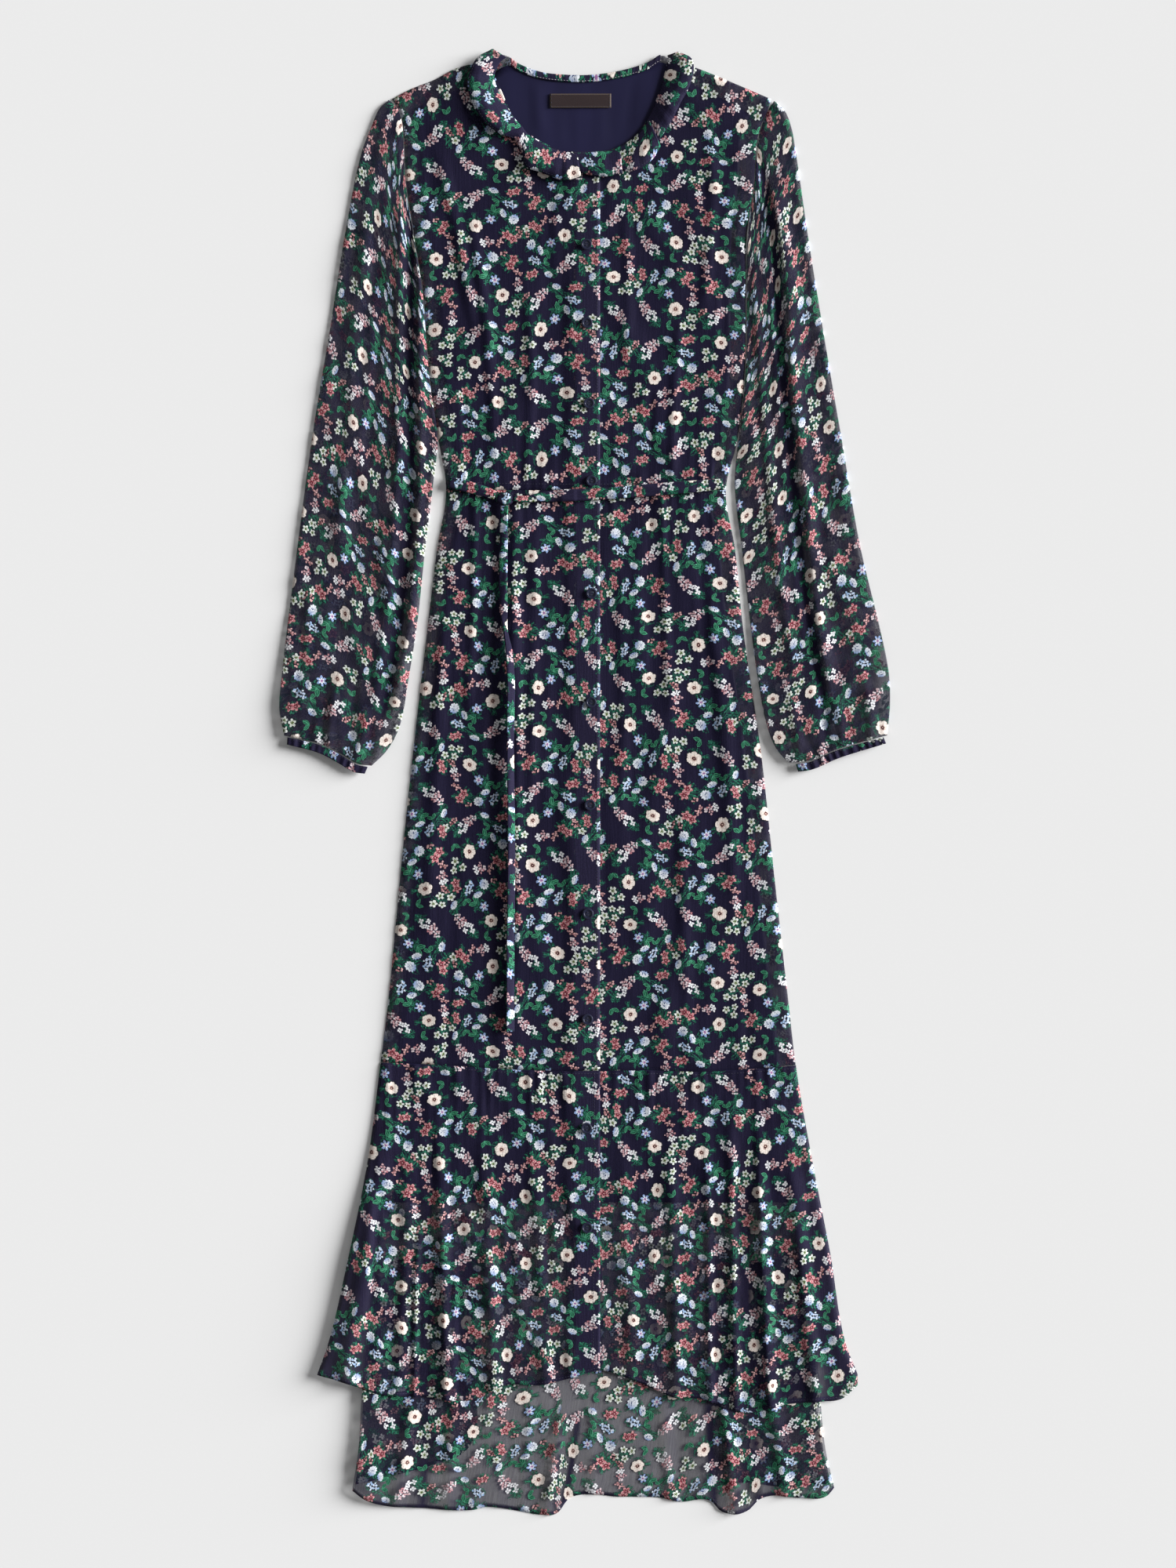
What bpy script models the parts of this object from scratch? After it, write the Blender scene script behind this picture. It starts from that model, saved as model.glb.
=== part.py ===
"""A long-sleeved shirt dress with a flounce, laid flat on its back, as closed solids.

The frame is in metres with +Z up, and +Y towards the neck. The origin is on the surface
that the dress lies on, at the middle of its width and length. Right and left are the
wearer's, so the right side of the dress is on -X.

Sizes are in millimetres. In plan, x is measured from the centre front towards +X, and
drop is measured down from the top of the neck ruffle, towards -Y.
"""

import math
from typing import Callable, NamedTuple, Sequence

import bmesh
import bpy

MM = 0.001
MERGE = 0.00001        # metres
COLLECTION = "shirt_dress"
CUTTERS = "cutters"

# Where the dress's own plan sizes lie in the frame.
CENTRE_FRONT_X = 3.1   # the centre front is this far to +X of the middle of the width
TOP_Y = 728.0          # the ruffle's top is this far to +Y of the middle of the length

# Cloth and its layers, from the surface up: back, lining, under front, lapping front.
WALL = 1.0             # modelled thickness of every cloth piece
GAP = 0.3              # clearance between pieces
SEAM = 0.7             # clearance in plan between two curved edges that are sewn together
LAYER = WALL + GAP
BACK_Z = 0.0
LINING_Z = BACK_Z + LAYER
FRONT_Z = LINING_Z + LAYER
FALL = 8.0             # width over which a front comes down to the back at its side edge

# The fastening: the right front laps over the left.
PLACKET_X = 12.0       # edge of the lapping front
UNDERLAP_X = -14.0     # edge of the front below it
LAP_FOOT = -26.0       # where the lapping front starts to rise over the other
LAP_RAMP = 8.0
LAP_TOP = LAP_FOOT + LAP_RAMP
LAP_MARGIN = 3.0       # how much wider than the lap the cloth lying on it rises

# How many rows the larger panels have, and columns where their tables give none.
SKIRT_ROWS = 8
SKIRT_BACK_COLUMNS = 8
FLOUNCE_FRONT_ROWS = 9
FLOUNCE_BACK_ROWS = 12
TURN_ROWS = 6
TURN_COLUMNS = 6
SHOULDER_COLUMNS = 3
ARMHOLE_FADE = 3.0     # how fast an armhole's curve dies out across the bodice
NECK_LINE_WAIST_RIGHT = -116.0   # where the line below the neck point meets the waist
NECK_LINE_WAIST_LEFT = 112.0

# Seam lines across the dress.
NECK_DROP = 101.0
WAIST_DROP = 437.0
FLOUNCE_DROP = 1012.0
LINING_END_DROP = 1145.0
LINING_INSET = 15.0    # the lining's side edges lie this far inside the dress's
LINING_TOP = [(-172.0, 58.0), (-140.0, 43.0), (-100.0, 28.0), (-84.0, 16.0), (-69.0, 15.0),
              (-48.0, 23.0), (-24.0, 26.0), (6.0, 26.0), (41.0, 20.0), (61.0, 13.0),
              (75.0, 12.0), (92.0, 28.0), (120.0, 42.0), (147.0, 58.0)]
LINING_DROPS = [90.0, 130.0, 166.0, 240.0, 335.0, WAIST_DROP, 573.0, 760.0, 948.0, 1060.0,
                LINING_END_DROP]
ARMHOLE_DROPS = [48.0, 58.0, 70.0, 86.0, 106.0, 126.0, 146.0, 166.0]
BODICE_SIDE_DROPS = [200.0, 240.0, 285.0, 335.0, 385.0]

# Sleeves and cuffs: flattened tubes.
SLEEVE_HEIGHT = 3.2    # over both layers, where there is no fold
SLEEVE_EDGE = 3.0      # width of a tube's rounded edge
CUFF_HEIGHT = 3.0

# Buttons.
BUTTON_HEIGHT = 2.2
BUTTON_PROFILE = [(0.0, 1.5), (3.4, 1.5), (3.9, 2.2), (5.0, 2.2), (5.5, 1.6), (5.1, 0.3),
                  (4.3, 0.0), (0.0, 0.0)]   # radius and height, from the dish round the rim
BUTTON_HOLE_RADIUS = 0.75
BUTTON_HOLE_OFFSET = 1.3
BUTTON_SIDES = 20
HOLE_SIDES = 6

NAVY = (0.018, 0.017, 0.040, 1.0)
LINING_NAVY = (0.021, 0.019, 0.047, 1.0)
LABEL_BROWN = (0.060, 0.045, 0.038, 1.0)
BUTTON_NAVY = (0.012, 0.013, 0.026, 1.0)

Plan = tuple[float, float]


class Side(NamedTuple):
    """Where the dress's right and left edges are at one drop."""

    drop: float
    right: float
    left: float


class Hem(NamedTuple):
    """How far down an edge reaches at one x."""

    x: float
    drop: float


class FoldLine(NamedTuple):
    """A line of the flounce from its seam to its hem, raised where it is a crest."""

    seam_x: float
    hem_x: float
    rise: float


class TubeLine(NamedTuple):
    """A line down a sleeve, by its share of the width from the outer edge."""

    share: float
    rise: float


class RufflePost(NamedTuple):
    """A line across the neck ruffle, from the neckline to its free edge."""

    inner_x: float
    inner_drop: float
    outer_x: float
    outer_drop: float
    lift: float


class TieRow(NamedTuple):
    """The upper and lower edges of the waist tie at one x."""

    x: float
    upper: float
    lower: float


class TailRow(NamedTuple):
    """The two edges of the tie's hanging end at one drop."""

    drop: float
    right: float
    left: float


class Button(NamedTuple):
    """A button's place and the turn of its holes in degrees."""

    x: float
    drop: float
    turn: float


# The edges of the fronts: armholes, side seams, waist, and the flounce's front edges.
FRONT_SIDES = [
    Side(48, -195, 182),
    Side(61, -187, 178),
    Side(74, -184, 172),
    Side(90, -183, 168),
    Side(130, -181, 165),
    Side(183, -173, 158),
    Side(240, -164, 157),
    Side(319, -158, 156),
    Side(385, -149, 149),
    Side(WAIST_DROP, -141, 137),
    Side(495, -150, 146),
    Side(573, -159.5, 154),
    Side(698, -174, 172),
    Side(823, -187, 185.5),
    Side(948, -199, 199.5),
    Side(FLOUNCE_DROP, -207, 207),
    Side(1104, -219, 223),
    Side(1197, -237.5, 241),
    Side(1285, -258, 256),
    Side(1316, -269, 268),
]
BACK_FLOUNCE_SIDES = [
    Side(FLOUNCE_DROP, -207, 207),
    Side(1150, -211, 215),
    Side(1290, -220, 227),
    Side(1340, -225, 231),
    Side(1390, -228, 236),
    Side(1430, -234, 245),
]

SHOULDER_SEAM_RIGHT = [Hem(-195, 48), Hem(-176, 38), Hem(-151, 28), Hem(-132, 18),
                       Hem(-95, 8)]
SHOULDER_SEAM_LEFT = [Hem(80, 8), Hem(108, 17), Hem(135, 28), Hem(159, 38), Hem(182, 48)]
BACK_NECKLINE = [Hem(-95, 8), Hem(-83, 4), Hem(-69, 13), Hem(-48, 21), Hem(-24, 24),
                 Hem(6, 24), Hem(41, 18), Hem(61, 11), Hem(74, 4), Hem(80, 8)]
FRONT_NECKLINE_RIGHT = [(-95, 8), (-93, 24), (-86, 40), (-73, 68), (-56, 85),
                        (LAP_FOOT, 100)]
FRONT_NECKLINE_LEFT = [(80, 8), (76, 26), (71, 40), (64, 60), (53, 78), (33, 95),
                       (12, NECK_DROP), (UNDERLAP_X, NECK_DROP)]

FLOUNCE_SEAM = [Hem(-207, 1006), Hem(-140, 1009), Hem(-53, 1014), Hem(62, 1014),
                Hem(120, 1015), Hem(207, 1009)]
FRONT_HEM = [Hem(-269, 1316), Hem(-237, 1325), Hem(-205, 1336), Hem(-168, 1338),
             Hem(-112, 1341), Hem(-83, 1327), Hem(-50, 1327), Hem(-14, 1319), Hem(12, 1312),
             Hem(34, 1318), Hem(62, 1329), Hem(82, 1338), Hem(115, 1341), Hem(138, 1350),
             Hem(162, 1354), Hem(197, 1346), Hem(230, 1343), Hem(253, 1340), Hem(268, 1327)]
BACK_HEM = [Hem(-234, 1431), Hem(-222, 1440), Hem(-204, 1446), Hem(-166, 1449),
            Hem(-114, 1451), Hem(-101, 1448), Hem(-70, 1452), Hem(-46, 1456), Hem(-30, 1454),
            Hem(-20, 1441), Hem(-6, 1436), Hem(30, 1438), Hem(72, 1439), Hem(92, 1443),
            Hem(122, 1442), Hem(132, 1452), Hem(146, 1455), Hem(160, 1451), Hem(170, 1441),
            Hem(182, 1437), Hem(213, 1439), Hem(238, 1437), Hem(245, 1429)]

# The flounce's folds. The first and last line of each table are its edges.
FRONT_FOLDS_RIGHT = [
    FoldLine(-207, -269, 0.0),
    FoldLine(-199, -260, 0.0),
    FoldLine(-193, -244, 2.0),
    FoldLine(-185, -222, 0.4),
    FoldLine(-175, -196, 2.8),
    FoldLine(-165, -165, 0.0),
    FoldLine(-152, -140, 2.8),
    FoldLine(-133, -114, 0.5),
    FoldLine(-112, -92, 2.2),
    FoldLine(-88, -66, 0.3),
    FoldLine(-62, -42, 1.4),
]
FRONT_FOLDS_LEFT = [
    FoldLine(40, 44, 1.2),
    FoldLine(58, 66, 0.2),
    FoldLine(80, 88, 2.4),
    FoldLine(100, 106, 0.4),
    FoldLine(118, 122, 2.6),
    FoldLine(136, 137, 0.6),
    FoldLine(147, 152, 2.6),
    FoldLine(156, 163, 0.0),
    FoldLine(172, 185, 3.0),
    FoldLine(184, 206, 0.4),
    FoldLine(193, 226, 2.4),
    FoldLine(198, 259, 0.0),
    FoldLine(207, 268, 0.0),
]
BACK_FOLDS = [
    FoldLine(-207, -234, 0.0),
    FoldLine(-190, -216, 0.8),
    FoldLine(-165, -190, 2.2),
    FoldLine(-150, -162, 0.0),
    FoldLine(-130, -138, 1.6),
    FoldLine(-108, -114, 0.4),
    FoldLine(-86, -92, 0.0),
    FoldLine(-60, -64, 0.6),
    FoldLine(-36, -44, 2.6),
    FoldLine(-18, -22, 0.0),
    FoldLine(6, 4, 0.8),
    FoldLine(44, 46, 0.0),
    FoldLine(76, 82, 1.6),
    FoldLine(98, 106, 0.2),
    FoldLine(112, 124, 0.2),
    FoldLine(124, 146, 2.6),
    FoldLine(144, 168, 0.2),
    FoldLine(166, 196, 1.6),
    FoldLine(190, 224, 0.4),
    FoldLine(207, 245, 0.0),
]

LAP_LINES = [
    FoldLine(LAP_FOOT, LAP_FOOT, 0.0),
    FoldLine(LAP_TOP, LAP_TOP, 0.0),
    FoldLine(PLACKET_X, PLACKET_X, 0.0),
]
UNDERLAP_LINES = [
    FoldLine(UNDERLAP_X, UNDERLAP_X, 0.0),
    FoldLine(18, 20, 0.0),
]
FOLD_START = 0.05      # share of a front's length above its folds
FOLD_GROWTH = 0.7      # share of the length over which they reach their height
BACK_SHOWS_DROP = 1348.0
BACK_FOLD_GROWTH = 50.0

# The turned-under side panels of the flounce, and where the back rises over them.
BACK_RISE_DROP = 1161.0
TURN_START_DROP = 1202.0
TURN_INNER_RIGHT = -110.0
TURN_INNER_LEFT = 121.0
TURN_RAMP = 16.0
TURN_INSET = 2.0       # a turned panel's outer edge lies this far inside the back's
TURN_HEM_RIGHT = [Hem(-231, 1425), Hem(-190, 1416), Hem(-150, 1405), Hem(-122, 1393),
                  Hem(-110, 1377)]
TURN_HEM_LEFT = [Hem(121, 1428), Hem(160, 1424), Hem(190, 1428), Hem(243, 1425)]

# The sleeves: outer edge, the inner edge where it is free of the bodice, and the line
# where the cuff joins.
SLEEVE_OUTER_RIGHT = [(-198, 49), (-207, 57), (-215, 75), (-224, 98), (-241, 180),
                      (-257, 280), (-273.5, 380), (-289, 495), (-304, 620), (-306.5, 655),
                      (-302, 681)]
SLEEVE_INNER_RIGHT = [(-154, 430), (-162, 495), (-170, 570), (-178, 622), (-188, 674),
                      (-200, 696), (-215, 711)]
SLEEVE_END_RIGHT = [(-302, 681), (-264, 690), (-244, 700), (-229, 709), (-215, 711)]
SLEEVE_OUTER_LEFT = [(185, 50), (195, 59), (202, 76), (206, 98), (218, 180), (234, 280),
                     (251, 380), (271, 495), (289, 570), (298.5, 617), (300, 648), (297, 681)]
SLEEVE_INNER_LEFT = [(146, 430), (153, 495), (161.5, 570), (170, 632), (178, 672),
                     (187, 694), (199, 708)]
SLEEVE_END_LEFT = [(297, 681), (246, 695), (220, 706), (199, 708)]

SLEEVE_FOLDS_RIGHT = [
    TubeLine(0.08, 0.4),
    TubeLine(0.18, 2.0),
    TubeLine(0.32, 0.4),
    TubeLine(0.48, 1.6),
    TubeLine(0.62, 0.5),
    TubeLine(0.74, 2.5),
    TubeLine(0.84, 0.0),
    TubeLine(0.92, 1.2),
]
SLEEVE_FOLDS_LEFT = [
    TubeLine(0.08, 0.4),
    TubeLine(0.20, 1.8),
    TubeLine(0.32, 0.5),
    TubeLine(0.44, 2.5),
    TubeLine(0.53, 0.0),
    TubeLine(0.62, 2.2),
    TubeLine(0.76, 0.6),
    TubeLine(0.88, 1.6),
]
SLEEVE_ROW_SHARES = [0.0, 0.02, 0.045, 0.08, 0.13, 0.19, 0.26, 0.33, 0.41, 0.49, 0.57, 0.65,
                     0.73, 0.80, 0.86, 0.91, 0.95, 0.98, 1.0]
CUFF_ROW_SHARES = [0.0, 0.5, 1.0]
SLEEVE_UNDER_SHARES = [0.88, 0.7, 0.5, 0.3, 0.12]

CUFF_HEM_RIGHT = [(-299, 690), (-266, 699), (-248, 708.5), (-232, 717.5), (-222, 719)]
CUFF_TOP_RIGHT = [(-298.5, 682.8), (-263.5, 691.5), (-244, 701.5), (-230, 710), (-219, 712.2)]
CUFF_HEM_LEFT = [(296, 689), (248, 704), (222, 715), (209, 717)]
CUFF_TOP_LEFT = [(293.5, 682.8), (245.5, 696.5), (220, 707.5), (206.5, 709.5)]
CUFF_GATHERS = 7
GATHER_RISE = 0.8

RUFFLE_POSTS = [
    RufflePost(-81, 8, -97, 0, 2.5),
    RufflePost(-90, 16, -112, 9, 3.5),
    RufflePost(-93, 26, -118, 25, 4.5),
    RufflePost(-87, 38, -119, 42, 5.0),
    RufflePost(-81, 54, -112, 58, 5.5),
    RufflePost(-73, 68, -101, 74, 5.5),
    RufflePost(-65, 77, -86, 86, 3.5),
    RufflePost(-58, 84, -68, 99, 1.2),
    RufflePost(-49, 90, -64, 114, 4.5),
    RufflePost(-36, 97, -47, 122, 4.8),
    RufflePost(-22, 100, -24, 130, 4.0),
    RufflePost(-10, 101, -8, 127, 1.4),
    RufflePost(3, 101, 3, 124, 3.6),
    RufflePost(18, 100, 16, 127, 4.2),
    RufflePost(30, 97, 31, 124, 1.4),
    RufflePost(39, 92, 44, 120, 4.8),
    RufflePost(49, 83, 58, 115, 5.0),
    RufflePost(57, 73, 69, 105, 3.8),
    RufflePost(62, 63, 72, 88, 1.8),
    RufflePost(67, 52, 83, 71, 4.2),
    RufflePost(71, 40, 93, 52, 4.8),
    RufflePost(75, 27, 101, 35, 4.8),
    RufflePost(78, 16, 105, 19, 4.2),
    RufflePost(79, 7, 90, 2, 3.0),
]
RUFFLE_ROLL = [0.0, 0.75, 1.0, 0.55]   # share of the lift, from the neckline outwards

BINDING_WIDTH = 7.0
BINDING_SPAN = (-77.0, 72.0)
BINDING_COLUMNS = 16

LABEL_CENTRE = (-7.5, 50.0)
LABEL_WIDTH = 61.0
LABEL_HEIGHT = 14.0

TIE_RIGHT = [TieRow(-138, 424, 435), TieRow(-129, 426, 437), TieRow(-117, 429, 440),
             TieRow(-106, 432, 443), TieRow(-92, 438, 447)]
TIE_LEFT = [TieRow(-74, 443, 449), TieRow(-60, 443, 449), TieRow(-44, 439, 449),
            TieRow(-29, 437, 449), TieRow(-19, 436.5, 449), TieRow(4, 436, 447.5),
            TieRow(14, 435.5, 446.5), TieRow(26, 434.5, 446), TieRow(51, 432, 444.5),
            TieRow(90, 429, 441), TieRow(112, 427.5, 439), TieRow(125, 426.5, 437),
            TieRow(134, 426, 435.5)]
TIE_EASE = 0.4         # how far the tie's runs stand off the fronts
TIE_KNOT_CENTRE = (-83.0, 446.0)
TIE_KNOT_SIZE = (15.0, 12.0, 5.0)
TIE_TAIL = [TailRow(453, -88, -80), TailRow(500, -89, -81), TailRow(560, -89, -81),
            TailRow(578, -86, -78), TailRow(600, -82, -74), TailRow(700, -81, -73),
            TailRow(800, -80, -72), TailRow(900, -81, -73), TailRow(975, -81, -73)]

BUTTONS = [
    Button(-1.6, 193, 4),
    Button(-1.0, 271, 12),
    Button(1.0, 351, -6),
    Button(3.5, 428, 8),
    Button(3.5, 540, 0),
    Button(3.0, 648, -10),
    Button(2.0, 750, 6),
    Button(0.0, 858, 14),
    Button(-0.5, 963, -4),
    Button(-1.5, 1071, 9),
    Button(-1.0, 1170, 2),
]


# ---------------------------------------------------------------- curves and tables

def smoothstep(t: float) -> float:
    """Return 0 below 0, 1 above 1, and an even S between."""
    t = min(1.0, max(0.0, t))
    return t * t * (3.0 - 2.0 * t)


def read(knots: Sequence[Plan], at: float) -> float:
    """Return the value at a position of a smooth curve through (position, value) knots."""
    last = len(knots) - 1
    k = 0
    while k < last - 1 and at > knots[k + 1][0]:
        k += 1
    slopes = [(b[1] - a[1]) / (b[0] - a[0]) for a, b in zip(knots, knots[1:])]
    lead = slopes[k] if k == 0 else 0.5 * (slopes[k - 1] + slopes[k])
    tail = slopes[k] if k == last - 1 else 0.5 * (slopes[k] + slopes[k + 1])
    span = knots[k + 1][0] - knots[k][0]
    t = min(1.0, max(0.0, (at - knots[k][0]) / span))
    start = knots[k][1] * (1 + 2 * t) * (1 - t) ** 2 + lead * span * t * (1 - t) ** 2
    end = knots[k + 1][1] * t * t * (3 - 2 * t) + tail * span * t * t * (t - 1)
    return start + end


def spaced(points: Sequence[Plan]) -> list[float]:
    """Return each point's distance along the line through the points."""
    lengths = [0.0]
    for a, b in zip(points, points[1:]):
        lengths.append(lengths[-1] + math.dist(a, b))
    return lengths


def trace(points: Sequence[Plan], shares: Sequence[float]) -> list[Plan]:
    """Return points at shares of the length of a smooth plan curve."""
    lengths = spaced(points)
    xs = list(zip(lengths, (p[0] for p in points)))
    drops = list(zip(lengths, (p[1] for p in points)))
    return [(read(xs, s * lengths[-1]), read(drops, s * lengths[-1])) for s in shares]


def with_midlines(lines: Sequence[NamedTuple]) -> list:
    """Add a line halfway between each two lines of a table of folds or posts."""
    full = []
    for a, b in zip(lines, lines[1:]):
        full.append(a)
        full.append(type(a)(*(0.5 * (p + q) for p, q in zip(a, b))))
    return full + [lines[-1]]


def steps(count: int) -> list[float]:
    """Return count + 1 even shares from 0 to 1."""
    return [k / count for k in range(count + 1)]


def between(start: float, end: float, count: int) -> list[float]:
    """Return count + 1 even values from start to end."""
    return [start + (end - start) * s for s in steps(count)]


def inset_steps(points: Sequence[Plan], count: int) -> list[float]:
    """Return even shares of a line from its start, with one more where a front has fallen."""
    return [0.0] + between(FALL / spaced(points)[-1], 1.0, count)


def side_x(sides: Sequence[Side], drop: float, left: bool) -> float:
    """Return the x of the dress's right or left edge at a drop."""
    return read([(s.drop, s.left if left else s.right) for s in sides], drop)


def side_line(sides: Sequence[Side], left: bool, drops: Sequence[float]) -> list[Plan]:
    """Return an edge's points at the given drops."""
    return [(side_x(sides, drop, left), drop) for drop in drops]


def hem_line(hem: Sequence[Hem], xs: Sequence[float]) -> list[Plan]:
    """Return the points of a seam or hem at the given x values."""
    return [(x, read(hem, x)) for x in xs]


# ---------------------------------------------------------------- heights of the layers

def lap_rise(x: float, margin: float = 0.0) -> float:
    """Return the rise of the lapping front at x, on a lap widened by a margin."""
    up = smoothstep((x - LAP_FOOT + margin) / LAP_RAMP)
    past = smoothstep((x - PLACKET_X - margin) / LAP_RAMP)
    return LAYER * (up - past)


def front_z(x: float, drop: float) -> float:
    """Return the underside of a front, which comes down to the back at the dress's edge."""
    inside = min(x - side_x(FRONT_SIDES, drop, False), side_x(FRONT_SIDES, drop, True) - x)
    seam = SHOULDER_SEAM_RIGHT if x < 0 else SHOULDER_SEAM_LEFT
    neck_x = seam[-1].x if x < 0 else seam[0].x
    if abs(x) > abs(neck_x) + 1.0:
        inside = min(inside, drop - read(seam, x))
    return LINING_Z + LAYER * min(1.0, max(0.0, inside / FALL))


def on_front(x: float, drop: float) -> float:
    """Return the underside of what lies on the fronts."""
    return front_z(x, drop) + LAYER + lap_rise(x, margin=LAP_MARGIN)


def back_flounce_z(x: float, drop: float) -> float:
    """Return the underside of the flounce's back, which rises over its turned sides."""
    over_right = smoothstep((TURN_INNER_RIGHT + 2 * TURN_RAMP - x) / TURN_RAMP)
    over_left = smoothstep((x - TURN_INNER_LEFT + 2 * TURN_RAMP) / TURN_RAMP)
    down = smoothstep((drop - BACK_RISE_DROP) / TURN_RAMP)
    return BACK_Z + LAYER * max(over_right, over_left) * down


# ---------------------------------------------------------------- building solids

def patch(top: Sequence[Plan], bottom: Sequence[Plan], first: Sequence[Plan],
          last: Sequence[Plan], fade: float = 1.0) -> list[list[Plan]]:
    """Fill four edges with rows of plan points.

    Args:
        top: Points of the top edge, one for each column.
        bottom: Points of the bottom edge, one for each column.
        first: Points of the edge of the first column, one for each row.
        last: Points of the edge of the last column, one for each row.
        fade: How fast the bends of the first and last edges die out across the rows.

    Returns:
        The rows of points, from top to bottom.
    """
    wide = [0.5 * (a / spaced(top)[-1] + b / spaced(bottom)[-1])
            for a, b in zip(spaced(top), spaced(bottom))]
    long = [0.5 * (a / spaced(first)[-1] + b / spaced(last)[-1])
            for a, b in zip(spaced(first), spaced(last))]
    rows = []
    for i, v in enumerate(long):
        row = []
        for j, u in enumerate(wide):
            point = []
            for axis in (0, 1):
                ruled = (1 - v) * top[j][axis] + v * bottom[j][axis]
                bend_first = first[i][axis] - (1 - v) * top[0][axis] - v * bottom[0][axis]
                bend_last = last[i][axis] - (1 - v) * top[-1][axis] - v * bottom[-1][axis]
                point.append(ruled + (1 - u) ** fade * bend_first + u ** fade * bend_last)
            row.append((point[0], point[1]))
        rows.append(row)
    return rows


def to_world(x: float, drop: float, z: float) -> tuple[float, float, float]:
    """Return the place in metres of a point of the dress."""
    return ((x + CENTRE_FRONT_X) * MM, (TOP_Y - drop) * MM, z * MM)


def finish(name: str, colour: Sequence[float], roughness: float) -> bpy.types.Material:
    """Make a plain material for one piece."""
    material = bpy.data.materials.new(name)
    material.use_nodes = True
    shader = material.node_tree.nodes["Principled BSDF"]
    shader.inputs["Base Color"].default_value = colour
    shader.inputs["Roughness"].default_value = roughness
    shader.inputs["Metallic"].default_value = 0.0
    return material


def add_object(name: str, mesh: bpy.types.Mesh, colour: Sequence[float],
               roughness: float = 0.8) -> bpy.types.Object:
    """Put a mesh in the dress's collection with a material of its own."""
    piece = bpy.data.objects.new(name, mesh)
    if not mesh.materials:
        mesh.materials.append(finish(name, colour, roughness))
    mesh.shade_smooth()
    bpy.data.collections[COLLECTION].objects.link(piece)
    return piece


def wall(piece: bpy.types.Object, inward: bool) -> None:
    """Give an open surface its thickness, inward for a tube and upward for a panel."""
    solidify = piece.modifiers.new("wall", "SOLIDIFY")
    solidify.thickness = WALL * MM
    solidify.offset = -1.0 if inward else 1.0
    solidify.use_even_offset = inward


def sheet(name: str, rows: Sequence[Sequence[Plan]],
          height: Callable[[int, int], float], colour: Sequence[float] = NAVY) -> None:
    """Make a cloth panel on rows of plan points.

    Args:
        name: The node's name.
        rows: The plan points, row by row, from the top down and from -X to +X.
        height: The panel's underside at a row and a column.
        colour: The material's colour.
    """
    shape = bmesh.new()
    grid = [[shape.verts.new(to_world(x, drop, height(i, j))) for j, (x, drop) in enumerate(row)]
            for i, row in enumerate(rows)]
    for upper, lower in zip(grid, grid[1:]):
        for j in range(len(upper) - 1):
            shape.faces.new((upper[j], lower[j], lower[j + 1], upper[j + 1]))
    mesh = bpy.data.meshes.new(name)
    shape.to_mesh(mesh)
    shape.free()
    wall(add_object(name, mesh, colour), inward=False)


def tube(name: str, rings: Sequence[Sequence[tuple[float, float, float]]]) -> None:
    """Make an open flattened tube on rings of points, its wall inside them."""
    shape = bmesh.new()
    grid = [[shape.verts.new(to_world(*point)) for point in ring] for ring in rings]
    count = len(grid[0])
    for upper, lower in zip(grid, grid[1:]):
        for j in range(count):
            k = (j + 1) % count
            shape.faces.new((upper[j], lower[j], lower[k], upper[k]))
    bmesh.ops.recalc_face_normals(shape, faces=shape.faces)
    mesh = bpy.data.meshes.new(name)
    shape.to_mesh(mesh)
    shape.free()
    wall(add_object(name, mesh, NAVY), inward=True)


# ---------------------------------------------------------------- the pieces

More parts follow.
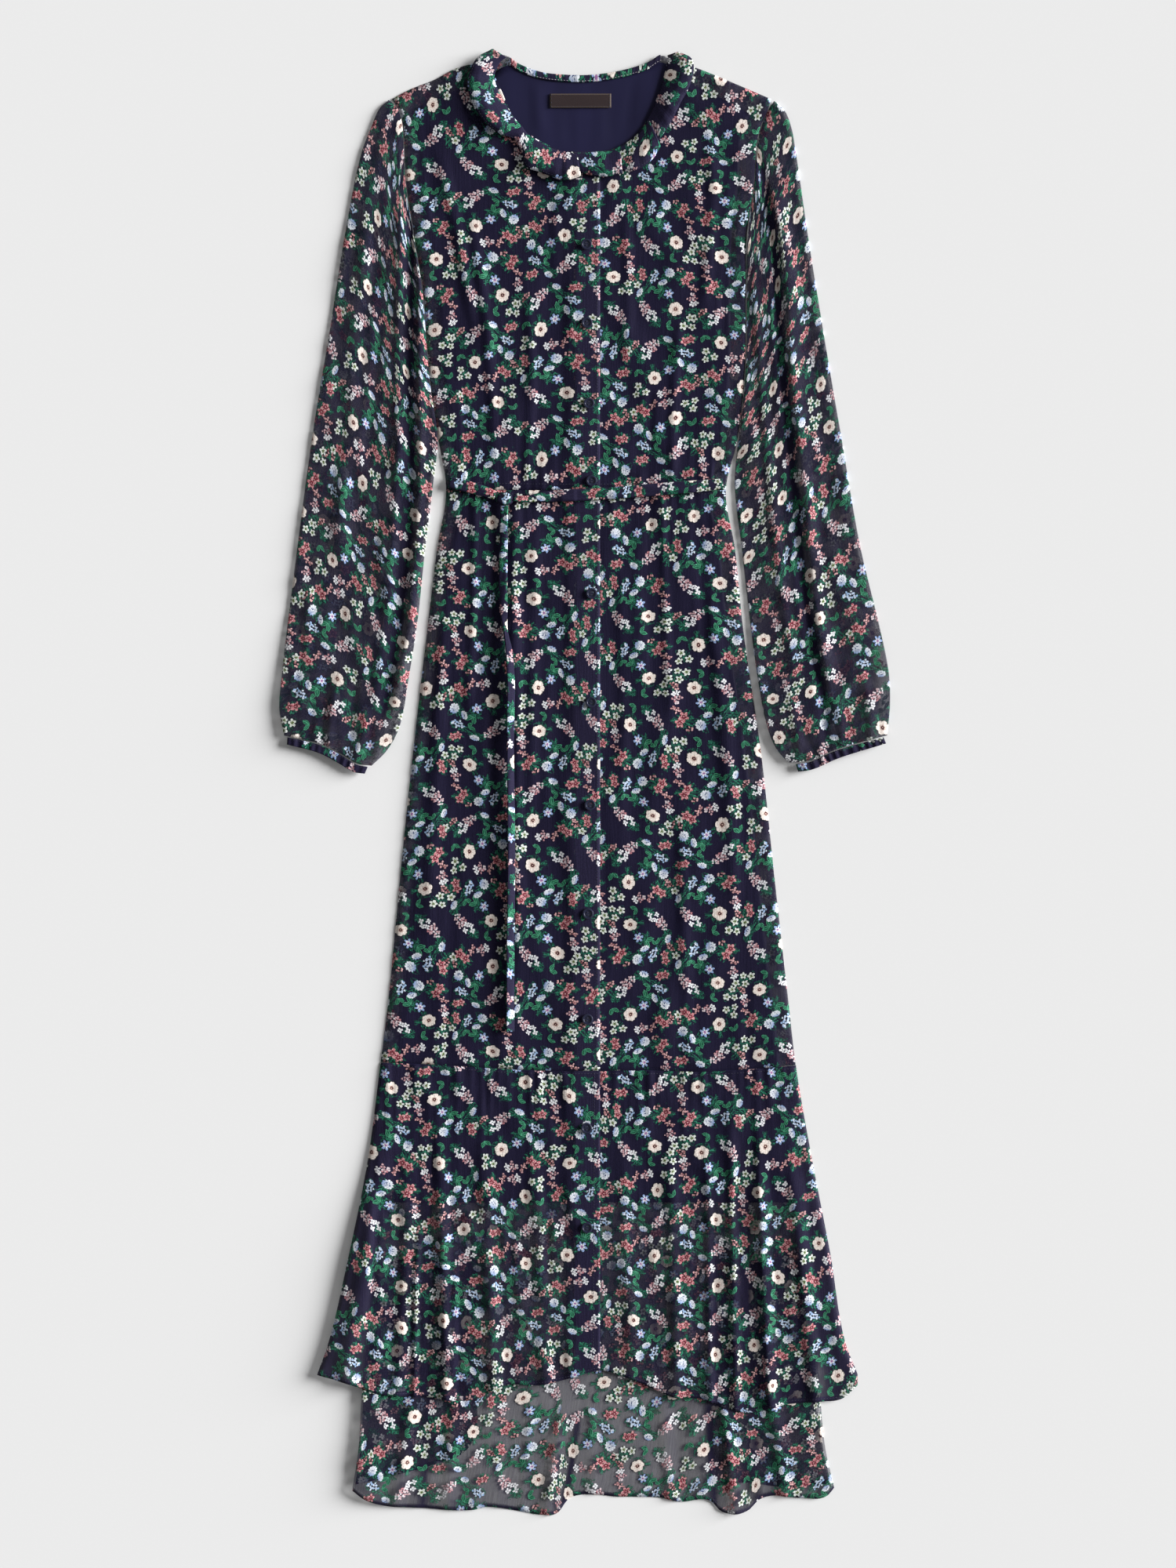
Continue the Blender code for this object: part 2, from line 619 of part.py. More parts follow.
def make_bodice() -> None:
    """Make the two front halves and the back of the bodice, down to the waist."""
    side_drops = ARMHOLE_DROPS + BODICE_SIDE_DROPS + [WAIST_DROP - GAP / 2]
    placket_drops = [NECK_DROP] + between(NECK_DROP + FALL, side_drops[-1], len(side_drops) - 2)

    lap_xs = [LAP_TOP, PLACKET_X]
    shoulder = trace(SHOULDER_SEAM_RIGHT, inset_steps(SHOULDER_SEAM_RIGHT, SHOULDER_COLUMNS))
    neck = trace(FRONT_NECKLINE_RIGHT, steps(5)) + [(x, placket_drops[0]) for x in lap_xs]
    top = shoulder + neck[1:]
    edge = side_x(FRONT_SIDES, WAIST_DROP, False)
    waist_xs = ([edge] + between(edge + FALL, NECK_LINE_WAIST_RIGHT, SHOULDER_COLUMNS)
                + between(NECK_LINE_WAIST_RIGHT, LAP_FOOT, 5)[1:] + lap_xs)
    bottom = [(x, WAIST_DROP - GAP / 2) for x in waist_xs]
    right = patch(top, bottom, side_line(FRONT_SIDES, False, side_drops),
                  [(PLACKET_X, drop) for drop in placket_drops], ARMHOLE_FADE)
    sheet("bodice_front_right", right,
          lambda i, j: front_z(*right[i][j]) + lap_rise(min(right[i][j][0], PLACKET_X)))

    shoulder = trace(SHOULDER_SEAM_LEFT[::-1], inset_steps(SHOULDER_SEAM_LEFT, SHOULDER_COLUMNS))
    neck = trace(FRONT_NECKLINE_LEFT[::-1], steps(6))
    top = neck + shoulder[-2::-1]
    edge = side_x(FRONT_SIDES, WAIST_DROP, True)
    waist_xs = (between(UNDERLAP_X, NECK_LINE_WAIST_LEFT, 6)
                + between(NECK_LINE_WAIST_LEFT, edge - FALL, SHOULDER_COLUMNS)[1:] + [edge])
    bottom = [(x, WAIST_DROP - GAP / 2) for x in waist_xs]
    left = patch(top, bottom, [(UNDERLAP_X, drop) for drop in placket_drops],
                 side_line(FRONT_SIDES, True, side_drops), ARMHOLE_FADE)
    sheet("bodice_front_left", left, lambda i, j: front_z(*left[i][j]))

    top = (trace(SHOULDER_SEAM_RIGHT, steps(SHOULDER_COLUMNS))
           + trace(BACK_NECKLINE, steps(8))[1:]
           + trace(SHOULDER_SEAM_LEFT, steps(SHOULDER_COLUMNS))[1:])
    bottom = [(x, WAIST_DROP - GAP / 2) for x in
              between(side_x(FRONT_SIDES, WAIST_DROP, False), edge, len(top) - 1)]
    back = patch(top, bottom, side_line(FRONT_SIDES, False, side_drops),
                 side_line(FRONT_SIDES, True, side_drops))
    sheet("bodice_back", back, lambda i, j: BACK_Z)


def make_skirt() -> None:
    """Make the two front halves and the back of the skirt, from waist to flounce."""
    rows = SKIRT_ROWS
    start = WAIST_DROP + GAP / 2
    seam = [Hem(hem.x, hem.drop - GAP / 2) for hem in FLOUNCE_SEAM]
    right_drops = between(start, seam[0].drop, rows)
    left_drops = between(start, seam[-1].drop, rows)
    right_line = side_line(FRONT_SIDES, False, right_drops[:-1]) + [tuple(seam[0])]
    left_line = side_line(FRONT_SIDES, True, left_drops[:-1]) + [tuple(seam[-1])]

    def lapping_xs(edge: float) -> list[float]:
        return [edge] + between(edge + FALL, LAP_FOOT, 4) + [LAP_TOP, PLACKET_X]

    def under_xs(edge: float) -> list[float]:
        return between(UNDERLAP_X, edge - FALL, 5) + [edge]

    bottom = hem_line(seam, lapping_xs(seam[0].x))
    top = [(x, start) for x in lapping_xs(right_line[0][0])]
    right = patch(top, bottom, right_line,
                  [(PLACKET_X, drop) for drop in between(start, bottom[-1][1], rows)])
    sheet("skirt_front_right", right,
          lambda i, j: front_z(*right[i][j]) + lap_rise(min(right[i][j][0], PLACKET_X)))

    bottom = hem_line(seam, under_xs(seam[-1].x))
    top = [(x, start) for x in under_xs(left_line[0][0])]
    left = patch(top, bottom, [(UNDERLAP_X, drop) for drop in between(start, bottom[0][1], rows)],
                 left_line)
    sheet("skirt_front_left", left, lambda i, j: front_z(*left[i][j]))

    bottom = hem_line(seam, between(seam[0].x, seam[-1].x, SKIRT_BACK_COLUMNS))
    top = [(x, start) for x in between(right_line[0][0], left_line[0][0], SKIRT_BACK_COLUMNS)]
    back = patch(top, bottom, right_line, left_line)
    sheet("skirt_back", back, lambda i, j: BACK_Z)


def flounce_rows(lines: Sequence[FoldLine], hem: Sequence[Hem],
                 first: Callable[[float], float], last: Callable[[float], float],
                 rows: int) -> list[list[Plan]]:
    """Fill a flounce panel between its seam, its hem and its two edges."""
    seam = [Hem(h.x, h.drop + GAP / 2) for h in FLOUNCE_SEAM]
    top = hem_line(seam, [line.seam_x for line in lines])
    bottom = hem_line(hem, [line.hem_x for line in lines])
    starts = between(top[0][1], bottom[0][1], rows)
    ends = between(top[-1][1], bottom[-1][1], rows)
    return patch(top, bottom, [(first(drop), drop) for drop in starts],
                 [(last(drop), drop) for drop in ends])


def make_flounce() -> None:
    """Make the flounce: two front halves, the back, and the sides turned under it."""
    rows = FLOUNCE_FRONT_ROWS

    def grown(i: int, rise: float) -> float:
        return rise * smoothstep((i / rows - FOLD_START) / FOLD_GROWTH)

    lines = with_midlines(FRONT_FOLDS_RIGHT) + LAP_LINES
    right = flounce_rows(lines, FRONT_HEM, lambda drop: side_x(FRONT_SIDES, drop, False),
                         lambda drop: PLACKET_X, rows)
    sheet("flounce_front_right", right,
          lambda i, j: (front_z(*right[i][j]) + grown(i, lines[j].rise)
                        + lap_rise(min(right[i][j][0], PLACKET_X))))

    left_lines = UNDERLAP_LINES + with_midlines(FRONT_FOLDS_LEFT)
    left = flounce_rows(left_lines, FRONT_HEM, lambda drop: UNDERLAP_X,
                        lambda drop: side_x(FRONT_SIDES, drop, True), rows)
    sheet("flounce_front_left", left,
          lambda i, j: front_z(*left[i][j]) + grown(i, left_lines[j].rise))

    def shown(drop: float, rise: float) -> float:
        return rise * smoothstep((drop - BACK_SHOWS_DROP) / BACK_FOLD_GROWTH)

    back = flounce_rows(BACK_FOLDS, BACK_HEM,
                        lambda drop: side_x(BACK_FLOUNCE_SIDES, drop, False),
                        lambda drop: side_x(BACK_FLOUNCE_SIDES, drop, True), FLOUNCE_BACK_ROWS)
    sheet("flounce_back", back,
          lambda i, j: back_flounce_z(*back[i][j]) + shown(back[i][j][1], BACK_FOLDS[j].rise))

    make_turn("flounce_side_right", TURN_HEM_RIGHT, False)
    make_turn("flounce_side_left", TURN_HEM_LEFT, True)


def make_turn(name: str, hem: Sequence[Hem], left: bool) -> None:
    """Make one side panel of the flounce, flat on the surface below the back."""
    inset = -TURN_INSET if left else TURN_INSET
    inner_x = TURN_INNER_LEFT if left else TURN_INNER_RIGHT
    outer_end, inner_end = (hem[-1], hem[0]) if left else (hem[0], hem[-1])
    outer = [(side_x(BACK_FLOUNCE_SIDES, drop, left) + inset, drop)
             for drop in between(TURN_START_DROP, outer_end.drop, TURN_ROWS)]
    inner = [(inner_x, drop) for drop in between(TURN_START_DROP, inner_end.drop, TURN_ROWS)]
    first, last = (inner, outer) if left else (outer, inner)
    top = [(x, TURN_START_DROP) for x in between(first[0][0], last[0][0], TURN_COLUMNS)]
    bottom = hem_line(hem, between(first[-1][0], last[-1][0], TURN_COLUMNS))
    bottom[0] = first[-1]
    bottom[-1] = last[-1]
    sheet(name, patch(top, bottom, first, last), lambda i, j: BACK_Z)


def make_lining() -> None:
    """Make the plain lining of the back, inside the dress's edges."""
    top = LINING_TOP
    first = [top[0]] + [(side_x(FRONT_SIDES, drop, False) + LINING_INSET, drop)
                        for drop in LINING_DROPS]
    last = [top[-1]] + [(side_x(FRONT_SIDES, drop, True) - LINING_INSET, drop)
                        for drop in LINING_DROPS]
    bottom = [(x, LINING_END_DROP) for x in between(first[-1][0], last[-1][0], len(top) - 1)]
    rows_of_points = patch(top, bottom, first, last)
    sheet("lining", rows_of_points, lambda i, j: LINING_Z, LINING_NAVY)


def make_neck() -> None:
    """Make the back neck binding, the ruffle round the front, and the bare label."""
    xs = between(*BINDING_SPAN, BINDING_COLUMNS)
    upper = hem_line(BACK_NECKLINE, xs)
    lower = [(x, drop + BINDING_WIDTH) for x, drop in upper]
    sheet("neck_binding", [upper, lower], lambda i, j: FRONT_Z)

    posts = with_midlines(RUFFLE_POSTS)
    rows = []
    for share in steps(len(RUFFLE_ROLL) - 1):
        rows.append([(post.inner_x + share * (post.outer_x - post.inner_x),
                      post.inner_drop + share * (post.outer_drop - post.inner_drop))
                     for post in posts])

    def height(i: int, j: int) -> float:
        lying = max(on_front(*rows[i][j]), FRONT_Z + LAYER)
        return lying + RUFFLE_ROLL[i] * posts[j].lift

    sheet("neck_ruffle", rows, height)

    x, drop = LABEL_CENTRE
    label = [[(x - LABEL_WIDTH / 2, drop + side * LABEL_HEIGHT / 2),
              (x + LABEL_WIDTH / 2, drop + side * LABEL_HEIGHT / 2)] for side in (-1, 1)]
    sheet("label", label, lambda i, j: FRONT_Z, LABEL_BROWN)


def ring(points: Sequence[Plan], rises: Sequence[float], under: Sequence[Plan],
         height: float) -> list[tuple[float, float, float]]:
    """Return one ring of a flattened tube.

    Args:
        points: Plan points of the upper layer, from one edge to the other.
        rises: The fold's rise at each of these points.
        under: Plan points of the lower layer, on the way back.
        height: The tube's height where there is no fold.
    """
    upper = [(x, drop, height + rise) for (x, drop), rise in zip(points, rises)]
    for end in (0, -1):
        upper[end] = (*points[end], height / 2)
    return upper + [(x, drop, 0.0) for x, drop in under]


def make_tube(name: str, top: Sequence[Plan], bottom: Sequence[Plan], outer: Sequence[Plan],
              inner: Sequence[Plan], lines: Sequence[TubeLine], height: float,
              row_shares: Sequence[float]) -> None:
    """Make a flattened tube between four plan curves, with folds down its upper layer."""
    width = 0.5 * (spaced(top)[-1] + spaced(bottom)[-1])
    edge = SLEEVE_EDGE / width
    shares = [0.0, edge] + [line.share for line in lines] + [1.0 - edge, 1.0]
    under_shares = [1.0 - edge] + SLEEVE_UNDER_SHARES + [edge]
    rises = [0.0, 0.0] + [line.rise for line in lines] + [0.0, 0.0]
    first = trace(outer, row_shares)
    last = trace(inner, row_shares)
    upper = patch(trace(top, shares), trace(bottom, shares), first, last)
    lower_shares = [0.0] + under_shares[::-1] + [1.0]
    lower = patch(trace(top, lower_shares), trace(bottom, lower_shares), first, last)
    rings = []
    for i, down in enumerate(row_shares):
        grow = smoothstep(0.25 + 2.5 * down)
        lifted = [grow * rise for rise in rises]
        rings.append(ring(upper[i], lifted, lower[i][-2:0:-1], height))
    tube(name, rings)


def make_sleeves() -> None:
    """Make the sleeves and their gathered cuffs."""
    def beside_bodice(left: bool, drops: Sequence[float]) -> list[Plan]:
        outset = SEAM if left else -SEAM
        return [(side_x(FRONT_SIDES, drop, left) + outset, drop) for drop in drops]

    side_drops = ARMHOLE_DROPS[-1:] + BODICE_SIDE_DROPS
    for name, left, outer, inner, end, folds in (
            ("sleeve_right", False, SLEEVE_OUTER_RIGHT, SLEEVE_INNER_RIGHT,
             SLEEVE_END_RIGHT, SLEEVE_FOLDS_RIGHT),
            ("sleeve_left", True, SLEEVE_OUTER_LEFT, SLEEVE_INNER_LEFT,
             SLEEVE_END_LEFT, SLEEVE_FOLDS_LEFT)):
        armhole = outer[:1] + beside_bodice(left, ARMHOLE_DROPS[1:])
        make_tube(name, armhole, end, outer,
                  beside_bodice(left, side_drops) + inner, folds, SLEEVE_HEIGHT,
                  SLEEVE_ROW_SHARES)
    gathers = []
    for k in range(1, 2 * CUFF_GATHERS):
        gathers.append(TubeLine(0.06 + 0.88 * k / (2 * CUFF_GATHERS), GATHER_RISE * (k % 2)))
    make_tube("cuff_right", CUFF_TOP_RIGHT, CUFF_HEM_RIGHT, [CUFF_TOP_RIGHT[0], CUFF_HEM_RIGHT[0]],
              [CUFF_TOP_RIGHT[-1], CUFF_HEM_RIGHT[-1]], gathers, CUFF_HEIGHT,
              CUFF_ROW_SHARES)
    make_tube("cuff_left", CUFF_TOP_LEFT, CUFF_HEM_LEFT, [CUFF_TOP_LEFT[0], CUFF_HEM_LEFT[0]],
              [CUFF_TOP_LEFT[-1], CUFF_HEM_LEFT[-1]], gathers, CUFF_HEIGHT,
              CUFF_ROW_SHARES)


def make_waist_tie() -> None:
    """Make the tie: a run from each side seam, the knot and the hanging end."""
    for name, table in (("waist_tie_right", TIE_RIGHT), ("waist_tie_left", TIE_LEFT)):
        rows = [[(row.x, row.upper) for row in table], [(row.x, row.lower) for row in table]]
        sheet(name, rows, lambda i, j, rows=rows: on_front(*rows[i][j]) + TIE_EASE)

    rows = [[(row.right, row.drop), (row.left, row.drop)] for row in TIE_TAIL]
    sheet("waist_tie_tail", rows, lambda i, j: on_front(*rows[i][j]))

    x, drop = TIE_KNOT_CENTRE
    wide, long, high = TIE_KNOT_SIZE
    centre = to_world(x, drop, on_front(x, drop) + high / 2)
    shape = bmesh.new()
    bmesh.ops.create_uvsphere(shape, u_segments=12, v_segments=8, radius=0.5 * MM)
    bmesh.ops.scale(shape, vec=TIE_KNOT_SIZE, verts=shape.verts)
    mesh = bpy.data.meshes.new("waist_tie_knot")
    shape.to_mesh(mesh)
    shape.free()
    knot = add_object("waist_tie_knot", mesh, NAVY)
    knot.location = centre


def button_mesh() -> bpy.types.Mesh:
    """Turn a dished button and cut its four holes."""
    outline = bpy.data.meshes.new("button_profile")
    outline.from_pydata([(r * MM, 0.0, z * MM) for r, z in BUTTON_PROFILE],
                        [(k, k + 1) for k in range(len(BUTTON_PROFILE) - 1)], [])
    turned = bpy.data.objects.new("button_turned", outline)
    bpy.data.collections[CUTTERS].objects.link(turned)
    screw = turned.modifiers.new("turn", "SCREW")
    screw.steps = BUTTON_SIDES
    screw.render_steps = BUTTON_SIDES
    screw.use_merge_vertices = True
    screw.merge_threshold = MERGE

    shape = bmesh.new()
    for along in (-1, 1):
        for across in (-1, 1):
            made = bmesh.ops.create_cone(shape, cap_ends=True, segments=HOLE_SIDES,
                                         radius1=BUTTON_HOLE_RADIUS * MM,
                                         radius2=BUTTON_HOLE_RADIUS * MM,
                                         depth=3.0 * BUTTON_HEIGHT * MM)
            shift = (along * BUTTON_HOLE_OFFSET * MM, across * BUTTON_HOLE_OFFSET * MM, 0.0)
            bmesh.ops.translate(shape, vec=shift, verts=made["verts"])
    drill_mesh = bpy.data.meshes.new("button_drill")
    shape.to_mesh(drill_mesh)
    shape.free()
    drill = bpy.data.objects.new("button_drill", drill_mesh)
    drill.hide_render = True
    drill.display_type = "WIRE"
    bpy.data.collections[CUTTERS].objects.link(drill)

    cut = turned.modifiers.new("holes", "BOOLEAN")
    cut.operation = "DIFFERENCE"
    cut.object = drill
    view = bpy.context.evaluated_depsgraph_get()
    mesh = bpy.data.meshes.new_from_object(turned.evaluated_get(view))
    mesh.name = "button"
    bpy.data.objects.remove(turned)
    bpy.data.objects.remove(drill)
    return mesh


def make_buttons() -> None:
    """Set the buttons down the lapping front."""
    mesh = button_mesh()
    for number, button in enumerate(BUTTONS, start=1):
        piece = add_object(f"button_{number:02d}", mesh, BUTTON_NAVY, roughness=0.35)
        piece.location = to_world(button.x, button.drop, on_front(button.x, button.drop))
        piece.rotation_euler = (0.0, 0.0, math.radians(button.turn))


def main() -> None:
    """Clear the scene and make the dress."""
    for old in list(bpy.data.objects):
        bpy.data.objects.remove(old)
    for name in (COLLECTION, CUTTERS):
        bpy.context.scene.collection.children.link(bpy.data.collections.new(name))
    make_bodice()
    make_skirt()
    make_flounce()
    make_lining()
    make_neck()
    make_sleeves()
    make_waist_tie()
    make_buttons()


main()
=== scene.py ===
"""A printed chiffon shirt dress with a ruffled neck and a sheer flounce, laid flat on its back.

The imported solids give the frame: metres, +Z up, +Y towards the neck, the surface at z = 0.
The dress's own sizes are in millimetres. In plan, x is measured from the centre front and drop
is measured down from the top of the neck ruffle. Right and left are the wearer's, so the right
side of the dress is on -X.
"""

from __future__ import annotations

import logging
import math
from dataclasses import dataclass, field
from enum import Enum
from typing import Any, Callable, NamedTuple, Sequence

import bpy
import numpy as np
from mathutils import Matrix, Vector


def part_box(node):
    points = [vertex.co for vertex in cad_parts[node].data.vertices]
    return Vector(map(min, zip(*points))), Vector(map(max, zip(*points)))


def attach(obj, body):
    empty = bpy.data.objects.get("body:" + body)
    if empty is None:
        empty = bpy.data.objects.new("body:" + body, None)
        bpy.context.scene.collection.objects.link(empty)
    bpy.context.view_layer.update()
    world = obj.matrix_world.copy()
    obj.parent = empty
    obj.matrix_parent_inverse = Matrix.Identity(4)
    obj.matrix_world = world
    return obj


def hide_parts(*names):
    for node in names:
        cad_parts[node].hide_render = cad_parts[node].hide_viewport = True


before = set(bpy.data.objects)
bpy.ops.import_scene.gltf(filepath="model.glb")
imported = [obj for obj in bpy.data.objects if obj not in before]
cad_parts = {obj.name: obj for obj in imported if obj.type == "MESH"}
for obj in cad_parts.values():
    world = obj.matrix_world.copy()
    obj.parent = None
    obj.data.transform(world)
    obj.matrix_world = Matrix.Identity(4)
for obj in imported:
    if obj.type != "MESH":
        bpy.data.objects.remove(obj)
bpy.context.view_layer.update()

LOG = logging.getLogger("shirt_dress")
Array = np.ndarray
Plan = tuple[float, float]

MM = 0.001
BODY = "root"
CENTRE_FRONT_X = 3.1
TOP_Y = 728.0


# ---------------------------------------------------------------- shader nodes

def linear(colour: str) -> tuple[float, float, float, float]:
    """Turn an sRGB hex colour into linear red, green, blue and alpha."""
    parts = [int(colour[k:k + 2], 16) / 255.0 for k in (1, 3, 5)]
    red, green, blue = (p / 12.92 if p <= 0.04045 else ((p + 0.055) / 1.055) ** 2.4 for p in parts)
    return red, green, blue, 1.0


def add(tree: bpy.types.NodeTree, kind: str, feeds: dict[int | str, Any] | None = None,
        **settings: Any) -> bpy.types.Node:
    """Add a node with its settings, values and links.

    Args:
        tree: The node tree.
        kind: The node's type name, which may leave out its ShaderNode.
        feeds: For each input, a value, a socket, or a node whose first output is used.
        **settings: The node's own properties.

    Returns:
        The new node.
    """
    whole = kind.startswith(("Geometry", "Function", "NodeGroup"))
    node = tree.nodes.new(kind if whole else "ShaderNode" + kind)
    for name, value in settings.items():
        setattr(node, name, value)
    for socket, value in (feeds or {}).items():
        if isinstance(value, bpy.types.Node):
            value = value.outputs[0]
        if isinstance(value, bpy.types.NodeSocket):
            tree.links.new(value, node.inputs[socket])
        else:
            node.inputs[socket].default_value = value
    return node


def placed(name: str, data: bpy.types.ID) -> bpy.types.Object:
    """Put an object with its data in the scene."""
    made = bpy.data.objects.new(name, data)
    bpy.context.scene.collection.objects.link(made)
    return made


def start_material(name: str) -> tuple[bpy.types.Material, bpy.types.NodeTree, bpy.types.Node]:
    """Start a material, and return it with its tree and its shader."""
    material = bpy.data.materials.new(name)
    material.use_nodes = True
    return material, material.node_tree, material.node_tree.nodes["Principled BSDF"]


def on_cloth(tree: bpy.types.NodeTree) -> bpy.types.Node:
    """Return the place on a piece's cloth in millimetres, from its UV map."""
    uv = add(tree, "UVMap", uv_map="cloth")
    return add(tree, "VectorMath", {0: uv, "Scale": 1000.0}, operation="SCALE")


def finish(shader: bpy.types.Node, links: dict[str, bpy.types.Node | bpy.types.NodeSocket],
        **values: float) -> None:
    """Link nodes to a shader's inputs, and set its plain values.

    Args:
        shader: The shader.
        links: A node or a socket for each input's name.
        **values: A value for each input's name, with _ in place of a space.
    """
    for name, source in links.items():
        if isinstance(source, bpy.types.Node):
            source = source.outputs[0]
        shader.id_data.links.new(source, shader.inputs[name])
    for name, value in values.items():
        shader.inputs[name.replace("_", " ")].default_value = value


# ---------------------------------------------------------------- the floral print

class Spot(NamedTuple):
    """Where a motif lies in the repeat: its centre, its turn in degrees, and its size."""

    x: float
    y: float
    turn: float
    wide: float
    high: float


@dataclass(frozen=True)
class FloralPrint:
    """A small floral printed on a navy ground, one bouquet to a square of a half-drop lattice.

    Every length is in millimetres of cloth. Each square is given a quarter turn or more by
    chance, and the rows sway, so that the bouquets don't line up.
    """

    cell: float = 66.0
    wobble: float = 0.5           # how far the drawing strays from true curves
    sway: float = 6.0             # how far the rows of bouquets sway
    edge: float = 0.16            # softness of a printed edge
    fern_cover: float = 0.55      # how much of the cloth the foliage's thin ink hides

    ground: str = "#221e37"
    shadow: str = "#14161f"
    fern_dark: str = "#1b443c"
    fern_light: str = "#34876a"
    leaf: str = "#16523b"
    leaf_rim: str = "#4f9d7b"
    cream: str = "#eadfd7"
    cream_shade: str = "#d6b4a6"
    heart: str = "#3f171e"
    coral: str = "#6a2431"
    blush: str = "#a85a64"
    coral_light: str = "#e0b2b2"
    olive_white: str = "#d2d8d2"
    olive: str = "#66723a"
    white: str = "#dedee2"
    cornflower: str = "#dde2ea"
    cornflower_rim: str = "#7f9ac8"
    cornflower_deep: str = "#2c3e66"
    periwinkle: str = "#8fa6d0"
    lilac: str = "#9a6a9c"
    berry: str = "#6b9acb"

    bursts: tuple[Spot, ...] = (
        Spot(-13.0, 9.0, 0, 12.5, 9.5), Spot(21.0, 20.0, 25, 10.5, 10.5),
        Spot(22.0, 1.0, 50, 9.5, 8.0), Spot(-23.5, 24.0, 10, 8.4, 8.0),
        Spot(-24.0, -9.0, -42, 8.0, 5.5), Spot(18.0, -15.0, 25, 11.5, 6.5),
        Spot(23.5, -25.0, 0, 8.8, 7.0), Spot(4.5, -1.5, 70, 8.5, 7.5),
        Spot(2.5, -25.0, 10, 9.5, 6.5))
    between: tuple[Spot, ...] = (Spot(0.0, 0.0, 30, 10.5, 8.0),)
    between_olives: tuple[Spot, ...] = (Spot(-4.0, 3.0, 10, 3.9, 4.1),)
    between_buds: tuple[Spot, ...] = (Spot(4.0, -3.0, -40, 5.6, 2.6),)
    anemones: tuple[Spot, ...] = (Spot(-11.0, 11.5, 10, 6.5, 7.1),)
    corals: tuple[Spot, ...] = (Spot(20.0, 21.0, 35, 4.5, 4.7), Spot(23.5, -25.5, -15, 3.9, 4.1))
    olives: tuple[Spot, ...] = (
        Spot(-26.5, 20.0, 20, 3.9, 4.1), Spot(-18.8, 26.0, 60, 3.8, 4.0),
        Spot(-27.8, 28.2, 40, 3.4, 3.6))
    cornflowers: tuple[Spot, ...] = (
        Spot(24.5, 3.0, 20, 5.0, 5.3), Spot(14.5, -3.5, 70, 4.9, 3.0),
        Spot(4.5, -27.0, 20, 5.0, 3.0))
    periwinkles: tuple[Spot, ...] = (Spot(3.0, 3.5, 15, 4.9, 4.9),)
    leaf_pairs: tuple[Spot, ...] = (
        Spot(6.5, -4.5, 205, 1.25, 1.25), Spot(10.0, -15.5, 70, 1.0, 1.0),
        Spot(-27.5, 4.0, -20, 1.05, 1.05))
    white_sprays: tuple[Spot, ...] = (Spot(-16.0, -16.0, -42, 14.5, 5.6),
                                      Spot(-3.0, 26.0, 15, 9.0, 4.8))
    berry_sprays: tuple[Spot, ...] = (Spot(20.5, -12.5, 25, 7.8, 4.2),)
    bud_sprays: tuple[Spot, ...] = (Spot(10.5, 27.0, 125, 5.2, 2.6), Spot(28.5, 13.0, 70, 4.0, 2.2))

    def group(self) -> bpy.types.NodeTree:
        """Build the print's node group.

        Returns:
            A group from a place on the cloth in millimetres to the colour and the ink's cover.
        """
        tree = bpy.data.node_groups.new("small_floral", "ShaderNodeTree")
        tree.interface.new_socket("Cloth", in_out="INPUT", socket_type="NodeSocketVector")
        tree.interface.new_socket("Colour", in_out="OUTPUT", socket_type="NodeSocketColor")
        tree.interface.new_socket("Ink", in_out="OUTPUT", socket_type="NodeSocketFloat")
        drawn = self._drawn(tree, add(tree, "NodeGroupInput"))
        place = self._cell(tree, drawn, (0.0, 0.0))
        beside = self._cell(tree, drawn, (0.5, 0.25))
        sheet = PrintSheet(tree, self.ground, self.edge)
        streak = add(tree, "TexNoise", {"Vector": drawn, "Scale": 0.85, "Detail": 0.0},
            noise_dimensions="2D")
        self._foliage(sheet, beside, streak, self.between)
        self._foliage(sheet, place, streak, self.bursts)
        self._olives(sheet, sheet.nearest(beside, self.between_olives))
        self._dotted(sheet, beside, self.between_buds, self.coral_light, self.coral)
        self._leaves(sheet, place)
        self._sprays(sheet, place)
        self._small_flowers(sheet, place)
        self._large_flowers(sheet, place, streak)
        painted = add(tree, "MapRange", {0: streak, 1: 0.3, 2: 0.7, 3: 0.80, 4: 1.14})
        colour = add(tree, "VectorMath", {0: sheet.colour, "Scale": painted}, operation="SCALE")
        add(tree, "NodeGroupOutput", {0: colour, 1: sheet.ink})
        return tree

    def _drawn(self, tree: bpy.types.NodeTree, cloth: bpy.types.Node) -> bpy.types.Node:
        """Return the place on the cloth with a drawn line's wobble, and with the rows' sway."""
        drawn = cloth
        for scale, reach in ((0.55, self.wobble), (0.011, self.sway)):
            noise = add(tree, "TexNoise", {"Vector": cloth, "Scale": scale, "Detail": 0.0},
                noise_dimensions="2D")
            stray = add(tree, "VectorMath", {0: noise.outputs["Color"], 1: (0.5, 0.5, 0.5)},
                operation="SUBTRACT")
            drawn = add(tree, "VectorMath", {0: stray, 1: (2 * reach, 2 * reach, 0.0), 2: drawn},
                operation="MULTIPLY_ADD")
        return drawn

